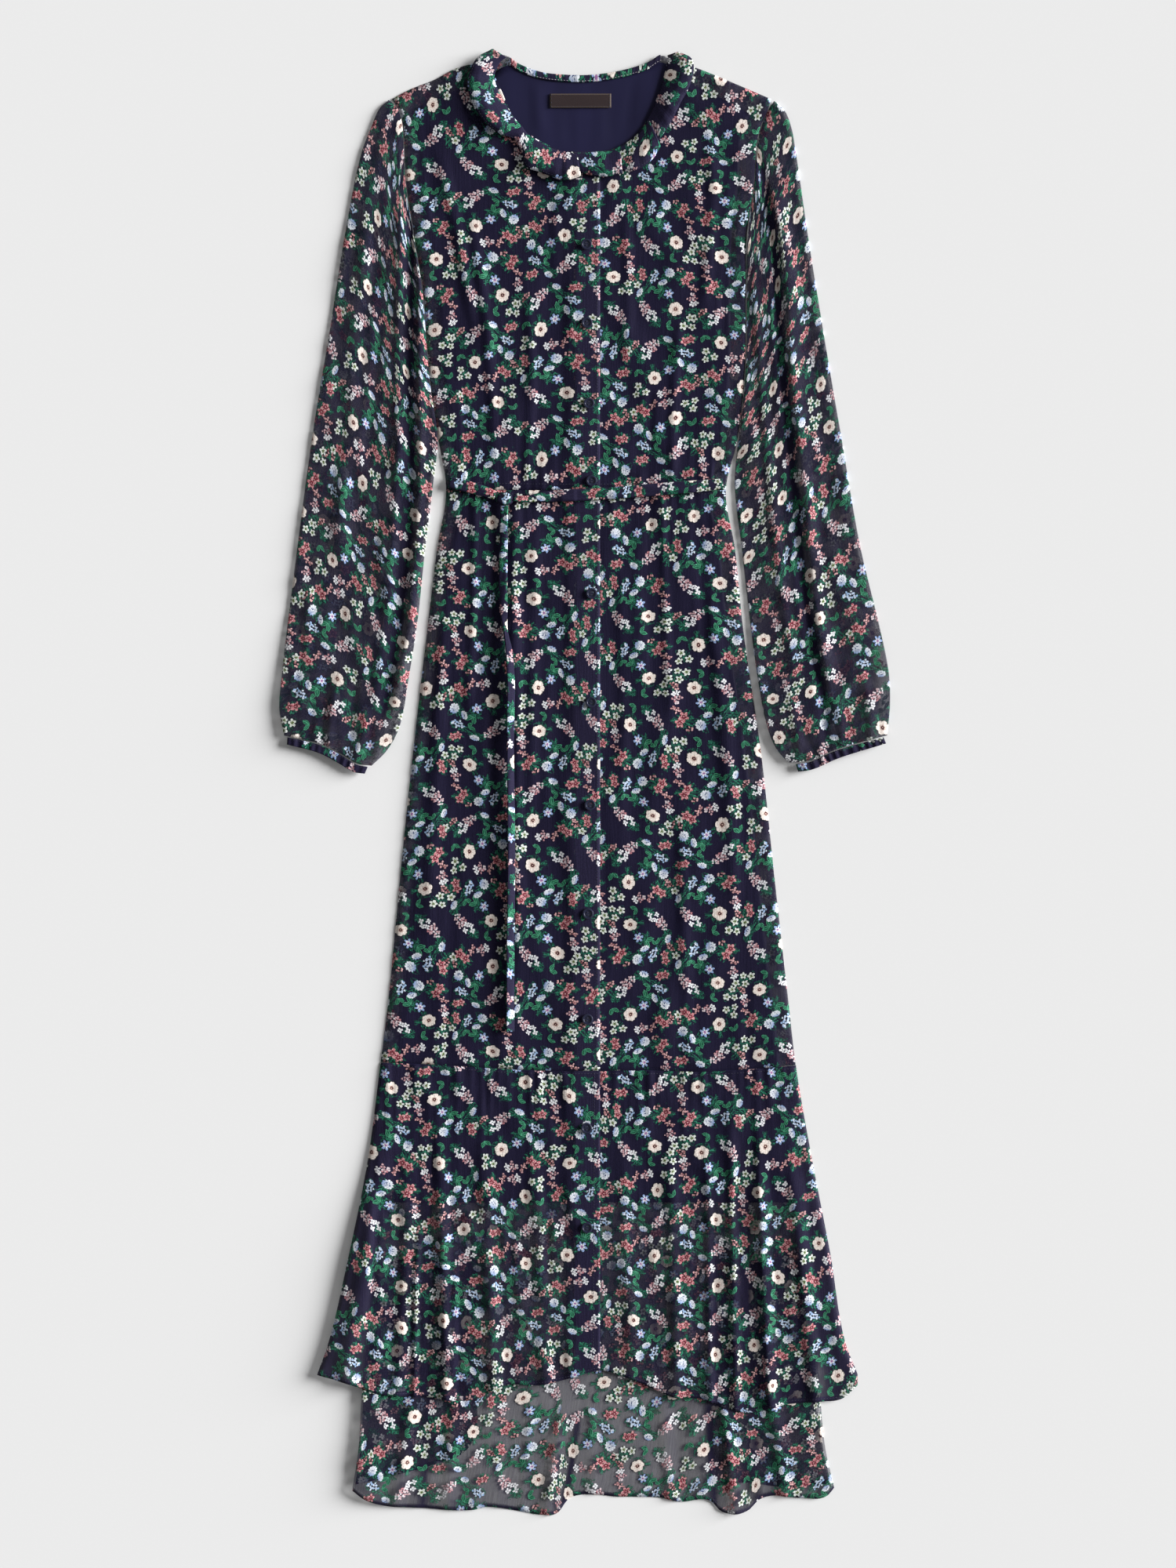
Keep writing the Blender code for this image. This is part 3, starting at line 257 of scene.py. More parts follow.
    def _cell(self, tree: bpy.types.NodeTree, drawn: bpy.types.Node,
            shift: tuple[float, float]) -> bpy.types.Node:
        """Return the place within a square of a lattice, which is turned by chance."""
        share = add(tree, "VectorMath", {0: drawn, 1: (1 / self.cell, 1 / self.cell, 0.0),
            2: (*shift, 0.0)}, operation="MULTIPLY_ADD")
        column = add(tree, "VectorMath", {0: share}, operation="FLOOR")
        column = add(tree, "SeparateXYZ", {0: column})
        drop = add(tree, "Math", {0: column, 1: 2.0}, operation="FLOORED_MODULO")
        drop = add(tree, "Math", {0: drop, 1: 0.5}, operation="MULTIPLY")
        drop = add(tree, "CombineXYZ", {1: drop})
        share = add(tree, "VectorMath", {0: share, 1: drop}, operation="ADD")
        number = add(tree, "VectorMath", {0: share}, operation="FLOOR")
        within = add(tree, "VectorMath", {0: share, 1: number}, operation="SUBTRACT")
        centred = add(tree, "VectorMath", {0: within, 1: (0.5, 0.5, 0.0)}, operation="SUBTRACT")
        centred = add(tree, "VectorMath", {0: centred, "Scale": self.cell}, operation="SCALE")
        chance = add(tree, "TexWhiteNoise", {"Vector": number}, noise_dimensions="2D")
        quarter = add(tree, "Math", {0: chance.outputs["Value"], 1: 4.0}, operation="MULTIPLY")
        quarter = add(tree, "Math", {0: quarter}, operation="FLOOR")
        turn = add(tree, "Math", {0: quarter, 1: math.pi / 2}, operation="MULTIPLY")
        return add(tree, "VectorRotate", {"Vector": centred, "Angle": turn}, rotation_type="Z_AXIS")

    def _foliage(self, sheet: PrintSheet, place: bpy.types.Node, streak: bpy.types.Node,
            spots: Sequence[Spot]) -> None:
        """Draw the foliage behind the flowers: pointed leaves spread round each bouquet."""
        tree = sheet.tree
        near = sheet.nearest(place, spots)
        patchy = add(tree, "TexNoise", {"Vector": place, "Scale": 0.12, "Detail": 0.0},
            noise_dimensions="2D")
        patchy = add(tree, "MapRange", {0: patchy, 1: 0.3, 2: 0.7, 3: 1.5, 4: 0.8})
        near = add(tree, "VectorMath", {0: near, "Scale": patchy}, operation="SCALE")
        sheet.shade(self.shadow, sheet.reach(near, 0.55, 0.3))
        sheet.lay(linear(self.fern_dark), sheet.petals(near, 13, 1.0, 0.7, point=2.0), self.fern_cover)
        green = add(tree, "Mix", {0: sheet.above(streak, 0.5, 0.08), 6: linear(self.leaf),
            7: linear(self.fern_light)}, data_type="RGBA")
        sheet.lay(green.outputs[2], sheet.petals(near, 9, 0.96, 0.85, turn=0.7, point=5.0),
            self.fern_cover)
        cells = add(tree, "TexVoronoi", {"Vector": place, "Scale": 1 / 2.5, "Randomness": 0.85},
            voronoi_dimensions="2D")
        offset = add(tree, "VectorMath", {0: place, 1: cells.outputs["Position"]}, operation="SUBTRACT")
        turn = add(tree, "Math", {0: cells.outputs["Color"], 1: 2 * math.pi}, operation="MULTIPLY")
        leaflet = add(tree, "VectorRotate", {"Vector": offset, "Angle": turn}, rotation_type="Z_AXIS")
        leaflet = add(tree, "VectorMath", {0: leaflet, 1: (1 / 0.5, 1 / 1.7, 0.0)},
            operation="MULTIPLY")
        mask = add(tree, "Math", {0: sheet.reach(leaflet, 1.0, 0.2), 1: sheet.reach(near, 0.98, 0.05)},
            operation="MULTIPLY")
        some = sheet.above(cells.outputs["Color"], 0.36, 0.02)
        mask = add(tree, "Math", {0: mask, 1: some}, operation="MULTIPLY")
        lit = add(tree, "MapRange", {0: cells.outputs["Color"], 1: 0.4, 2: 0.9})
        green = add(tree, "Mix", {0: lit, 6: linear(self.fern_dark), 7: linear(self.fern_light)},
            data_type="RGBA")
        sheet.lay(green.outputs[2], mask, self.fern_cover)

    def _leaves(self, sheet: PrintSheet, place: bpy.types.Node) -> None:
        """Draw pairs of bright leaves, each with a paler rim and rib."""
        tree = sheet.tree
        near = sheet.nearest(place, self.leaf_pairs)
        lifted = add(tree, "VectorMath", {0: near, 1: (0.0, 50.0, 0.0)}, operation="ADD")
        folded = add(tree, "VectorMath", {0: lifted}, operation="ABSOLUTE")
        leaf = add(tree, "Mapping", {"Vector": folded, "Location": (2.2, 52.4, 0.0),
            "Rotation": (0.0, 0.0, math.radians(-36)), "Scale": (1.8, 3.6, 1.0)}, vector_type="TEXTURE")
        part = add(tree, "SeparateXYZ", {0: leaf})
        out = add(tree, "Math", {0: part.outputs["X"]}, operation="ABSOLUTE")
        along = add(tree, "Math", {0: part.outputs["Y"], 1: part.outputs["Y"]}, operation="MULTIPLY")
        lens = add(tree, "Math", {0: out, 1: along}, operation="ADD")
        sheet.shade(self.shadow, sheet.below(lens, 1.25, 0.2))
        rim = sheet.above(lens, 0.76, 0.1)
        rib = sheet.below(out, 0.1, 0.08)
        pale = add(tree, "Math", {0: rim, 1: rib}, operation="MAXIMUM")
        green = add(tree, "Mix", {0: pale, 6: linear(self.leaf), 7: linear(self.leaf_rim)},
            data_type="RGBA")
        sheet.lay(green.outputs[2], sheet.below(lens, 1.0, 0.12))

    def _dotted(self, sheet: PrintSheet, place: bpy.types.Node, spots: Sequence[Spot], light: str,
            deep: str) -> tuple[bpy.types.Node, bpy.types.Node]:
        """Draw sprays of berries or buds, and return the dots' cells and their mask."""
        tree = sheet.tree
        dots = add(tree, "TexVoronoi", {"Vector": place, "Scale": 1 / 2.2, "Randomness": 0.7},
            voronoi_dimensions="2D")
        dot = sheet.below(dots, 0.46, 0.07)
        sheet.shade(self.shadow, sheet.reach(sheet.nearest(place, spots), 0.9, 0.15))
        near = sheet.nearest(dots.outputs["Position"], spots)
        mask = add(tree, "Math", {0: sheet.reach(near, 1.0, 0.002), 1: dot}, operation="MULTIPLY")
        colour = add(tree, "Mix", {0: dots.outputs["Color"], 6: linear(light), 7: linear(deep)},
            data_type="RGBA")
        sheet.lay(colour.outputs[2], mask)
        return dots, dot

    def _sprays(self, sheet: PrintSheet, place: bpy.types.Node) -> None:
        """Draw the sprays of berries and buds, and of small four-petalled flowers."""
        tree = sheet.tree
        self._dotted(sheet, place, self.berry_sprays, self.berry, self.cornflower)
        dots, dot = self._dotted(sheet, place, self.bud_sprays, self.coral_light, self.coral)
        cells = add(tree, "TexVoronoi", {"Vector": place, "Scale": 1 / 5.9, "Randomness": 0.6},
            voronoi_dimensions="2D")
        near = sheet.nearest(cells.outputs["Position"], self.white_sprays)
        inside = sheet.reach(near, 0.92, 0.002)
        part = add(tree, "SeparateXYZ", {0: near})
        near_dots = sheet.nearest(dots.outputs["Position"], self.white_sprays)
        tip = add(tree, "SeparateXYZ", {0: near_dots})
        tail = sheet.above(tip.outputs["X"], 0.05, 0.002)
        tail_in = sheet.reach(near_dots, 1.0, 0.002)
        tail = add(tree, "Math", {0: tail, 1: tail_in}, operation="MULTIPLY")
        tail = add(tree, "Math", {0: tail, 1: dot}, operation="MULTIPLY")
        bud = add(tree, "Mix", {0: dots.outputs["Color"], 6: linear(self.blush), 7: linear(self.white)},
            data_type="RGBA")
        sheet.lay(bud.outputs[2], tail)
        offset = add(tree, "VectorMath", {0: place, 1: cells.outputs["Position"]}, operation="SUBTRACT")
        size = add(tree, "MapRange", {0: part, 1: -1.0, 2: 0.4, 3: 1.0, 4: 0.0})
        early = sheet.above(size, 0.10, 0.002)
        inside = add(tree, "Math", {0: inside, 1: early}, operation="MULTIPLY")
        for colour, part in ((self.white, sheet.petals(offset, 4, 3.0, 0.92,
                turn=cells.outputs["Color"])), (self.fern_dark, sheet.reach(offset, 0.5, 0.2))):
            mask = add(tree, "Math", {0: part, 1: inside}, operation="MULTIPLY")
            sheet.lay(linear(colour), mask)

    def _olives(self, sheet: PrintSheet, near: Any) -> None:
        """Draw pale flowers with olive hearts."""
        sheet.shade(self.shadow, sheet.reach(near, 1.06, 0.14))
        sheet.lay(linear(self.olive_white), sheet.petals(near, 5, 1.04, 0.62, point=0.8))
        sheet.lay(linear(self.olive), sheet.petals(near, 5, 0.46, 0.8))
        sheet.lay(linear(self.fern_dark), sheet.reach(near, 0.13, 0.05))

    def _small_flowers(self, sheet: PrintSheet, place: bpy.types.Node) -> None:
        """Draw the pale olive-hearted flowers and the periwinkles."""
        self._olives(sheet, sheet.nearest(place, self.olives))
        near = sheet.nearest(place, self.periwinkles)
        sheet.shade(self.shadow, sheet.reach(near, 1.06, 0.14))
        sheet.lay(linear(self.periwinkle), sheet.petals(near, 6, 1.04, 0.85))
        sheet.lay(linear(self.white), sheet.petals(near, 6, 0.6, 0.85))
        sheet.lay(linear(self.lilac), sheet.reach(near, 0.24, 0.06))

    def _large_flowers(self, sheet: PrintSheet, place: bpy.types.Node, streak: bpy.types.Node) -> None:
        """Draw the cornflowers, the double coral blossoms and the anemones."""
        tree = sheet.tree
        near = sheet.nearest(place, self.cornflowers)
        part = add(tree, "SeparateXYZ", {0: near})
        lit = add(tree, "MapRange", {0: part.outputs["Y"], 1: -0.9, 2: 0.0})
        blue = add(tree, "Mix", {0: lit, 6: linear(self.cornflower_rim), 7: linear(self.cornflower)},
            data_type="RGBA")
        sheet.lay(blue.outputs[2], sheet.petals(near, 11, 1.0, 0.26))
        deep = add(tree, "Math", {0: sheet.above(streak, 0.58, 0.03), 1: sheet.reach(near, 0.6, 0.2)},
            operation="MULTIPLY")
        sheet.lay(linear(self.cornflower_deep), deep)

        pair = sheet.nearest(place, self.corals)
        lifted = add(tree, "VectorMath", {0: pair, 1: (0.0, 50.0, 0.0)}, operation="ADD")
        folded = add(tree, "VectorMath", {0: lifted}, operation="ABSOLUTE")
        bloom = add(tree, "VectorMath", {0: folded, 1: (0.74, 50.0, 0.0)}, operation="SUBTRACT")
        sheet.lay(linear(self.coral), sheet.petals(bloom, 5, 1.0, 0.4))
        pink = add(tree, "Mix", {0: sheet.below(streak, 0.5, 0.05), 6: linear(self.blush),
            7: linear(self.coral_light)}, data_type="RGBA")
        sheet.lay(pink.outputs[2], sheet.petals(bloom, 5, 1.1, 0.94))
        sheet.lay(linear(self.coral), sheet.petals(bloom, 5, 0.55, 0.7))
        sheet.lay(linear(self.coral_light), sheet.reach(bloom, 0.12, 0.05))

        near = sheet.nearest(place, self.anemones)
        sheet.shade(self.shadow, sheet.reach(near, 1.06, 0.12))
        sheet.lay(linear(self.cream), sheet.petals(near, 6, 1.0, 0.2))
        sheet.lay(linear(self.cream_shade), sheet.reach(near, 0.36, 0.16))
        sheet.lay(linear(self.heart), sheet.reach(near, 0.27, 0.05))
        sheet.lay(linear(self.cream_shade), sheet.reach(near, 0.09, 0.04))


class PrintSheet:
    """The print while it is drawn: the colour so far and how much of it is ink."""

    def __init__(self, tree: bpy.types.NodeTree, ground: str, edge: float) -> None:
        """Start with bare ground."""
        self.tree = tree
        self.edge = edge
        self.colour: Any = linear(ground)
        self.ink: Any = 0.0

    def nearest(self, place: Any, spots: Sequence[Spot]) -> bpy.types.NodeSocket:
        """Return the place within the nearest motif, in its own turn and size."""
        best = None
        least = None
        for spot in spots:
            near = add(self.tree, "Mapping", {"Vector": place, "Location": (spot.x, spot.y, 0.0),
                "Rotation": (0.0, 0.0, math.radians(spot.turn)), "Scale": (spot.wide, spot.high, 1.0)},
                vector_type="TEXTURE")
            if best is None:
                best = near.outputs[0]
                continue
            if least is None:
                least = add(self.tree, "VectorMath", {0: best}, operation="LENGTH").outputs["Value"]
            away = add(self.tree, "VectorMath", {0: near}, operation="LENGTH").outputs["Value"]
            nearer = add(self.tree, "Math", {0: away, 1: least}, operation="LESS_THAN")
            best = add(self.tree, "Mix", {0: nearer, 4: best, 5: near}, data_type="VECTOR").outputs[1]
            least = add(self.tree, "Math", {0: away, 1: least}, operation="MINIMUM").outputs[0]
        return best

    def above(self, value: Any, level: float, soft: float | None = None) -> bpy.types.Node:
        """Return 1 where a value is above a level, with a soft edge."""
        soft = self.edge if soft is None else soft
        return add(self.tree, "MapRange", {0: value, 1: level - soft, 2: level + soft})

    def below(self, value: Any, level: float, soft: float | None = None) -> bpy.types.Node:
        """Return 1 where a value is below a level, with a soft edge."""
        soft = self.edge if soft is None else soft
        return add(self.tree, "MapRange", {0: value, 1: level - soft, 2: level + soft, 3: 1.0, 4: 0.0})

    def reach(self, near: Any, radius: float, soft: float) -> bpy.types.Node:
        """Return 1 within a radius of a motif's centre."""
        away = add(self.tree, "VectorMath", {0: near}, operation="LENGTH")
        return self.below(away.outputs["Value"], radius, soft)

    def petals(self, near: Any, count: int, radius: float, depth: float, turn: Any = 0.0,
            point: float = 0.6) -> bpy.types.Node:
        """Draw a flower's petals.

        Args:
            near: The place from the flower's centre.
            count: How many petals it has.
            radius: Its radius.
            depth: How deep the notches between petals are, as a share of the radius.
            turn: A turn of the flower, in radians.
            point: How pointed its petals are, from 0.5 for round ones.

        Returns:
            The mask's node.
        """
        away = add(self.tree, "VectorMath", {0: near}, operation="LENGTH")
        part = add(self.tree, "SeparateXYZ", {0: near})
        round_ = add(self.tree, "Math", {0: part.outputs["Y"], 1: part.outputs["X"]},
            operation="ARCTAN2")
        wave = add(self.tree, "Math", {0: round_, 1: count / 2.0, 2: turn}, operation="MULTIPLY_ADD")
        wave = add(self.tree, "Math", {0: wave}, operation="COSINE")
        wave = add(self.tree, "Math", {0: wave}, operation="ABSOLUTE")
        wave = add(self.tree, "Math", {0: wave, 1: point}, operation="POWER")
        rim = add(self.tree, "Math", {0: wave, 1: radius * depth, 2: radius * (1 - depth)},
            operation="MULTIPLY_ADD")
        ahead = add(self.tree, "Math", {0: rim, 1: away.outputs["Value"]}, operation="SUBTRACT")
        return self.above(ahead, 0.0, 0.05 * radius)

    def shade(self, colour: str, mask: bpy.types.Node) -> None:
        """Print a thin dark shade round a motif, which hides little of what is below."""
        self.lay(linear(colour), mask, 0.25)

    def lay(self, colour: Any, mask: Any, cover: float = 1.0) -> None:
        """Print a colour through a mask over what is there, in an ink of some cover."""
        mixed = add(self.tree, "Mix", {0: mask, 6: self.colour, 7: colour}, data_type="RGBA")
        self.colour = mixed.outputs[2]
        if cover < 1.0:
            mask = add(self.tree, "Math", {0: mask, 1: cover}, operation="MULTIPLY")
        self.ink = add(self.tree, "Math", {0: self.ink, 1: mask}, operation="MAXIMUM")


class Layering(Enum):
    """How many layers of its cloth a piece is made of."""

    SINGLE = 1
    DOUBLE = 2


@dataclass(frozen=True)
class CrinkledChiffon:
    """Printed polyester chiffon: sheer, matt, with a fine crinkle along the warp.

    Light passes between its twisted yarns, so a single layer shows what lies under it, and two
    layers are nearly dark. The ink is denser than the yarn that it covers.
    """

    ground_cover: float = 0.37     # of one face of a single layer, between the motifs
    ink_cover: float = 0.90
    folded_cover: float = 0.86     # where a hem, a facing or a fold adds a layer
    inner_dark: str = "#1d1a30"
    inner_light: str = "#2c2846"
    crinkle_wide: float = 1.6      # mm between crinkles; the real ones are near 0.8 mm
    crinkle_long: float = 24.0
    roughness: float = 0.72
    specular: float = 0.10
    sheen: float = 0.03

    def material(self, group: bpy.types.NodeTree, layering: Layering) -> bpy.types.Material:
        """Make the cloth's material.

        Args:
            group: The print's node group.
            layering: How many layers the piece has.
        """
        name = "crinkled_chiffon" if layering is Layering.SINGLE else "crinkled_chiffon_doubled"
        material, tree, shader = start_material(name)
        place = on_cloth(tree)
        picture = add(tree, "Group", node_tree=group)
        tree.links.new(place.outputs[0], picture.inputs[0])
        stretched = add(tree, "Mapping", {"Vector": place, "Scale": (1 / self.crinkle_wide,
            1 / self.crinkle_long, 1.0)})
        crinkle = add(tree, "TexNoise", {"Vector": stretched, "Scale": 1.0, "Detail": 2.0,
            "Roughness": 0.6}, noise_dimensions="2D")
        bump = add(tree, "Bump", {"Strength": 0.35, "Distance": 0.0006, "Height": crinkle})
        ground = self._ground_cover(tree, crinkle)
        cover = add(tree, "Mix", {0: picture.outputs[1], 2: ground, 3: self.ink_cover},
            data_type="FLOAT")
        cover = self._layered(tree, cover)
        if layering is Layering.DOUBLE:
            cover = add(tree, "Math", {0: cover, 1: 0.9}, operation="MAXIMUM")
        finish(shader, {"Base Color": picture, "Normal": bump, "Alpha": cover},
            Roughness=self.roughness, Specular_IOR_Level=self.specular, Sheen_Weight=self.sheen)
        return material

    def _ground_cover(self, tree: bpy.types.NodeTree, crinkle: bpy.types.Node) -> bpy.types.Node:
        """Return how much bare ground hides: less where the crinkle spreads its yarns."""
        return add(tree, "MapRange", {0: crinkle, 1: 0.25, 2: 0.75, 3: self.ground_cover - 0.05,
            4: self.ground_cover + 0.07})

    def _layered(self, tree: bpy.types.NodeTree, cover: bpy.types.Node) -> bpy.types.Node:
        """Return a layer's cover, and more where a piece holds extra layers."""
        turned = add(tree, "Attribute", attribute_name="extra_layers")
        return add(tree, "Mix", {0: turned.outputs["Fac"], 2: cover, 3: self.folded_cover},
            data_type="FLOAT")

    def reverse(self) -> bpy.types.Material:
        """Make the inner face of a printed layer, where the ink hardly shows."""
        material, tree, shader = start_material("crinkled_chiffon_inner_face")
        uv = add(tree, "UVMap", uv_map="cloth")
        place = add(tree, "Mapping", {"Vector": uv, "Scale": (1000 / self.crinkle_wide,
            1000 / self.crinkle_long, 1.0)})
        crinkle = add(tree, "TexNoise", {"Vector": place, "Scale": 1.0, "Detail": 0.0},
            noise_dimensions="2D")
        colour = add(tree, "Mix", {0: crinkle, 6: linear(self.inner_dark), 7: linear(self.inner_light)},
            data_type="RGBA")
        cover = self._layered(tree, self._ground_cover(tree, crinkle))
        finish(shader, {"Base Color": colour.outputs[2], "Alpha": cover}, Roughness=self.roughness,
            Specular_IOR_Level=self.specular)
        return material


@dataclass(frozen=True)
class PlainLining:
    """Plain-weave polyester lining: opaque navy with a faint satin gleam."""

    warp: str = "#1c1b36"
    weft: str = "#22213f"
    thread: float = 0.9           # mm between threads; the real 0.12 mm is too fine to show
    roughness: float = 0.5
    specular: float = 0.14

    def material(self) -> bpy.types.Material:
        """Make the lining's material."""
        material, tree, shader = start_material("plain_lining")
        place = on_cloth(tree)
        weave = woven(tree, place, self.thread)
        colour = add(tree, "Mix", {0: weave, 6: linear(self.warp), 7: linear(self.weft)},
            data_type="RGBA")
        # The colour turns a little lighter and darker in long soft streaks that run down the cloth.
        soft = add(tree, "Mapping", {"Vector": place, "Scale": (1 / 26, 1 / 180, 1.0)})
        soft = add(tree, "TexNoise", {"Vector": soft, "Scale": 1.0, "Detail": 1.0},
            noise_dimensions="2D")
        soft_streaks = add(tree, "MapRange", {0: soft, 1: 0.3, 2: 0.7, 3: 0.86, 4: 1.14})
        colour = add(tree, "VectorMath", {0: colour.outputs[2], "Scale": soft_streaks}, operation="SCALE")
        bump = add(tree, "Bump", {"Strength": 0.2, "Distance": 0.0001, "Height": weave})
        finish(shader, {"Base Color": colour, "Normal": bump}, Roughness=self.roughness,
            Specular_IOR_Level=self.specular)
        return material


@dataclass(frozen=True)
class WovenLabel:
    """A damask-woven tape, brown with a paler selvedge, left bare."""

    ground: str = "#33292a"
    border: str = "#51463f"
    size: Plan = (61.0, 14.0)
    selvedge: float = 1.3
    thread: float = 0.8           # mm between threads; the real ones are near 0.2 mm
    roughness: float = 0.5
    specular: float = 0.15

    def material(self) -> bpy.types.Material:
        """Make the label's material. Its UV map starts at the label's middle."""
        material, tree, shader = start_material("woven_tape")
        place = on_cloth(tree)
        weave = woven(tree, place, self.thread)
        out = add(tree, "VectorMath", {0: place}, operation="ABSOLUTE")
        half = (self.size[0] / 2 - self.selvedge, self.size[1] / 2 - self.selvedge, 0.0)
        past = add(tree, "VectorMath", {0: out, 1: half}, operation="SUBTRACT")
        past = add(tree, "SeparateXYZ", {0: past})
        edge = add(tree, "Math", {0: past.outputs["X"], 1: past.outputs["Y"]}, operation="MAXIMUM")
        edge = add(tree, "MapRange", {0: edge, 1: -0.2, 2: 0.2})
        colour = add(tree, "Mix", {0: edge, 6: linear(self.ground), 7: linear(self.border)},
            data_type="RGBA")
        shade = add(tree, "MapRange", {0: weave, 3: 0.8, 4: 1.2})
        colour = add(tree, "VectorMath", {0: colour.outputs[2], "Scale": shade}, operation="SCALE")
        bump = add(tree, "Bump", {"Strength": 0.5, "Distance": 0.0002, "Height": weave})
        finish(shader, {"Base Color": colour, "Normal": bump}, Roughness=self.roughness,
            Specular_IOR_Level=self.specular)
        return material


def woven(tree: bpy.types.NodeTree, place: Any, thread: float) -> bpy.types.Node:
    """Add a plain weave's height, from 0 to 1.

    Args:
        tree: The node tree.
        place: The place on the cloth in millimetres.
        thread: The distance between threads in millimetres.
    """
    turns = 2 * math.pi / thread
    phase = add(tree, "VectorMath", {0: place, "Scale": turns}, operation="SCALE")
    wave = add(tree, "VectorMath", {0: phase}, operation="SINE")
    part = add(tree, "SeparateXYZ", {0: wave})
    over = add(tree, "Math", {0: part.outputs["X"], 1: part.outputs["Y"]}, operation="MULTIPLY")
    return add(tree, "MapRange", {0: over, 1: -1.0, 2: 1.0})


@dataclass(frozen=True)
class ButtonResin:
    """Cast polyester resin, tumbled: dark navy with a faint swirl and a soft gloss."""

    deep: str = "#15172a"
    swirl: str = "#262a42"
    ior: float = 1.55
    roughness: float = 0.28

    def material(self) -> bpy.types.Material:
        """Make the buttons' material."""
        material, tree, shader = start_material("cast_resin")
        place = add(tree, "TexCoord")
        cloud = add(tree, "TexNoise", {"Vector": place.outputs["Object"], "Scale": 260.0, "Detail": 3.0,
            "Distortion": 1.5})
        colour = add(tree, "Mix", {0: cloud, 6: linear(self.deep), 7: linear(self.swirl)},
            data_type="RGBA")
        scuffs = add(tree, "TexNoise", {"Vector": place.outputs["Object"], "Scale": 900.0,
            "Detail": 2.0})
        rough = add(tree, "MapRange", {0: scuffs, 3: self.roughness - 0.06, 4: self.roughness + 0.12})
        finish(shader, {"Base Color": colour.outputs[2], "Roughness": rough}, IOR=self.ior)
        return material


@dataclass(frozen=True)
class SewingThread:
    """Spun polyester sewing thread, twisted, matt."""

    colour: str = "#2f2f44"
    twist: float = 0.8            # mm to a turn
    roughness: float = 0.8
    sheen: float = 0.15

    def material(self) -> bpy.types.Material:
        """Make the thread's material."""
        material, tree, shader = start_material("spun_thread_" + self.colour[1:])
        place = add(tree, "TexCoord")
        slant = add(tree, "Mapping", {"Vector": place.outputs["Object"],
            "Rotation": (0.0, 0.0, math.radians(35))})
        ply = add(tree, "TexWave", {"Vector": slant, "Scale": 0.16 / (self.twist * MM)})
        shade = add(tree, "MapRange", {0: ply.outputs["Fac"], 3: 0.75, 4: 1.15})
        colour = add(tree, "VectorMath", {0: linear(self.colour)[:3], "Scale": shade},
            operation="SCALE")
        finish(shader, {"Base Color": colour}, Roughness=self.roughness, Sheen_Weight=self.sheen)
        return material


# ---------------------------------------------------------------- curves and surfaces

def smoothstep(t: Array) -> Array:
    """Return 0 below 0, 1 above 1, and an even S between."""
    t = np.clip(t, 0.0, 1.0)
    return t * t * (3.0 - 2.0 * t)


def round_over(t: Array) -> Array:
    """Return a quarter round, from 0 at 0 to 1 at 1 and beyond."""
    return np.sqrt(np.maximum(0.0, 1.0 - (1.0 - np.clip(t, 0.0, 1.0)) ** 2))


def read(knots: Sequence[Sequence[float]], at: Array) -> Array:
    """Return the values at some positions of a smooth curve through (position, value) knots."""
    table = np.array([k[:2] for k in knots], dtype=float)
    places, values = table[:, 0], table[:, 1]
    at = np.asarray(at, dtype=float)
    slopes = np.diff(values) / np.diff(places)
    lean = np.concatenate([slopes[:1], 0.5 * (slopes[:-1] + slopes[1:]), slopes[-1:]])
    k = np.clip(np.searchsorted(places, at) - 1, 0, len(places) - 2)
    span = places[k + 1] - places[k]
    t = np.clip((at - places[k]) / span, 0.0, 1.0)
    start = values[k] * (1 + 2 * t) * (1 - t) ** 2 + lean[k] * span * t * (1 - t) ** 2
    end = values[k + 1] * t * t * (3 - 2 * t) + lean[k + 1] * span * t * t * (t - 1)
    return start + end


def lengths(points: Array) -> Array:
    """Return each point's distance along the line through the points."""
    gaps = np.linalg.norm(np.diff(points, axis=0), axis=-1)
    return np.concatenate([[0.0], np.cumsum(gaps)])


def trace(points: Sequence[Sequence[float]], shares: Array) -> Array:
    """Return points at shares of the length of a smooth curve."""
    table = np.array(points, dtype=float)
    along = lengths(table)
    at = np.asarray(shares) * along[-1]
    return np.stack([read(np.stack([along, column], axis=1), at) for column in table.T], axis=-1)


def spread(start: float, end: float, step: float) -> Array:
    """Return even values from start to end, about a step apart."""
    return np.linspace(start, end, max(2, round(abs(end - start) / step) + 1))


def shares(length: float, step: float) -> Array:
    """Return even shares of a length, about a step apart."""
    return spread(0.0, length, step) / length


def line(places: Array, drops: Array) -> Array:
    """Return plan points from x values and drops."""
    return np.stack(np.broadcast_arrays(places, drops), axis=-1).astype(float)


def patch(top: Array, bottom: Array, first: Array, last: Array, fade: float = 1.0) -> Array:
    """Fill four edges with a grid of plan points.

    Args:
        top: The top edge, a point to a column.
        bottom: The bottom edge, a point to a column.
        first: The first column's edge, a point to a row.
        last: The last column's edge, a point to a row.
        fade: How fast the side edges' bends die out across the rows.

    Returns:
        The points, as rows, columns and (x, drop).
    """
    wide = [lengths(edge) / lengths(edge)[-1] for edge in (top, bottom)]
    long = [lengths(edge) / lengths(edge)[-1] for edge in (first, last)]
    u = 0.5 * (wide[0] + wide[1])[None, :, None]
    v = 0.5 * (long[0] + long[1])[:, None, None]
    ruled = (1 - v) * top[None] + v * bottom[None]
    bend_first = first[:, None] - (1 - v) * top[0] - v * bottom[0]
    bend_last = last[:, None] - (1 - v) * top[-1] - v * bottom[-1]
    return ruled + (1 - u) ** fade * bend_first + u ** fade * bend_last


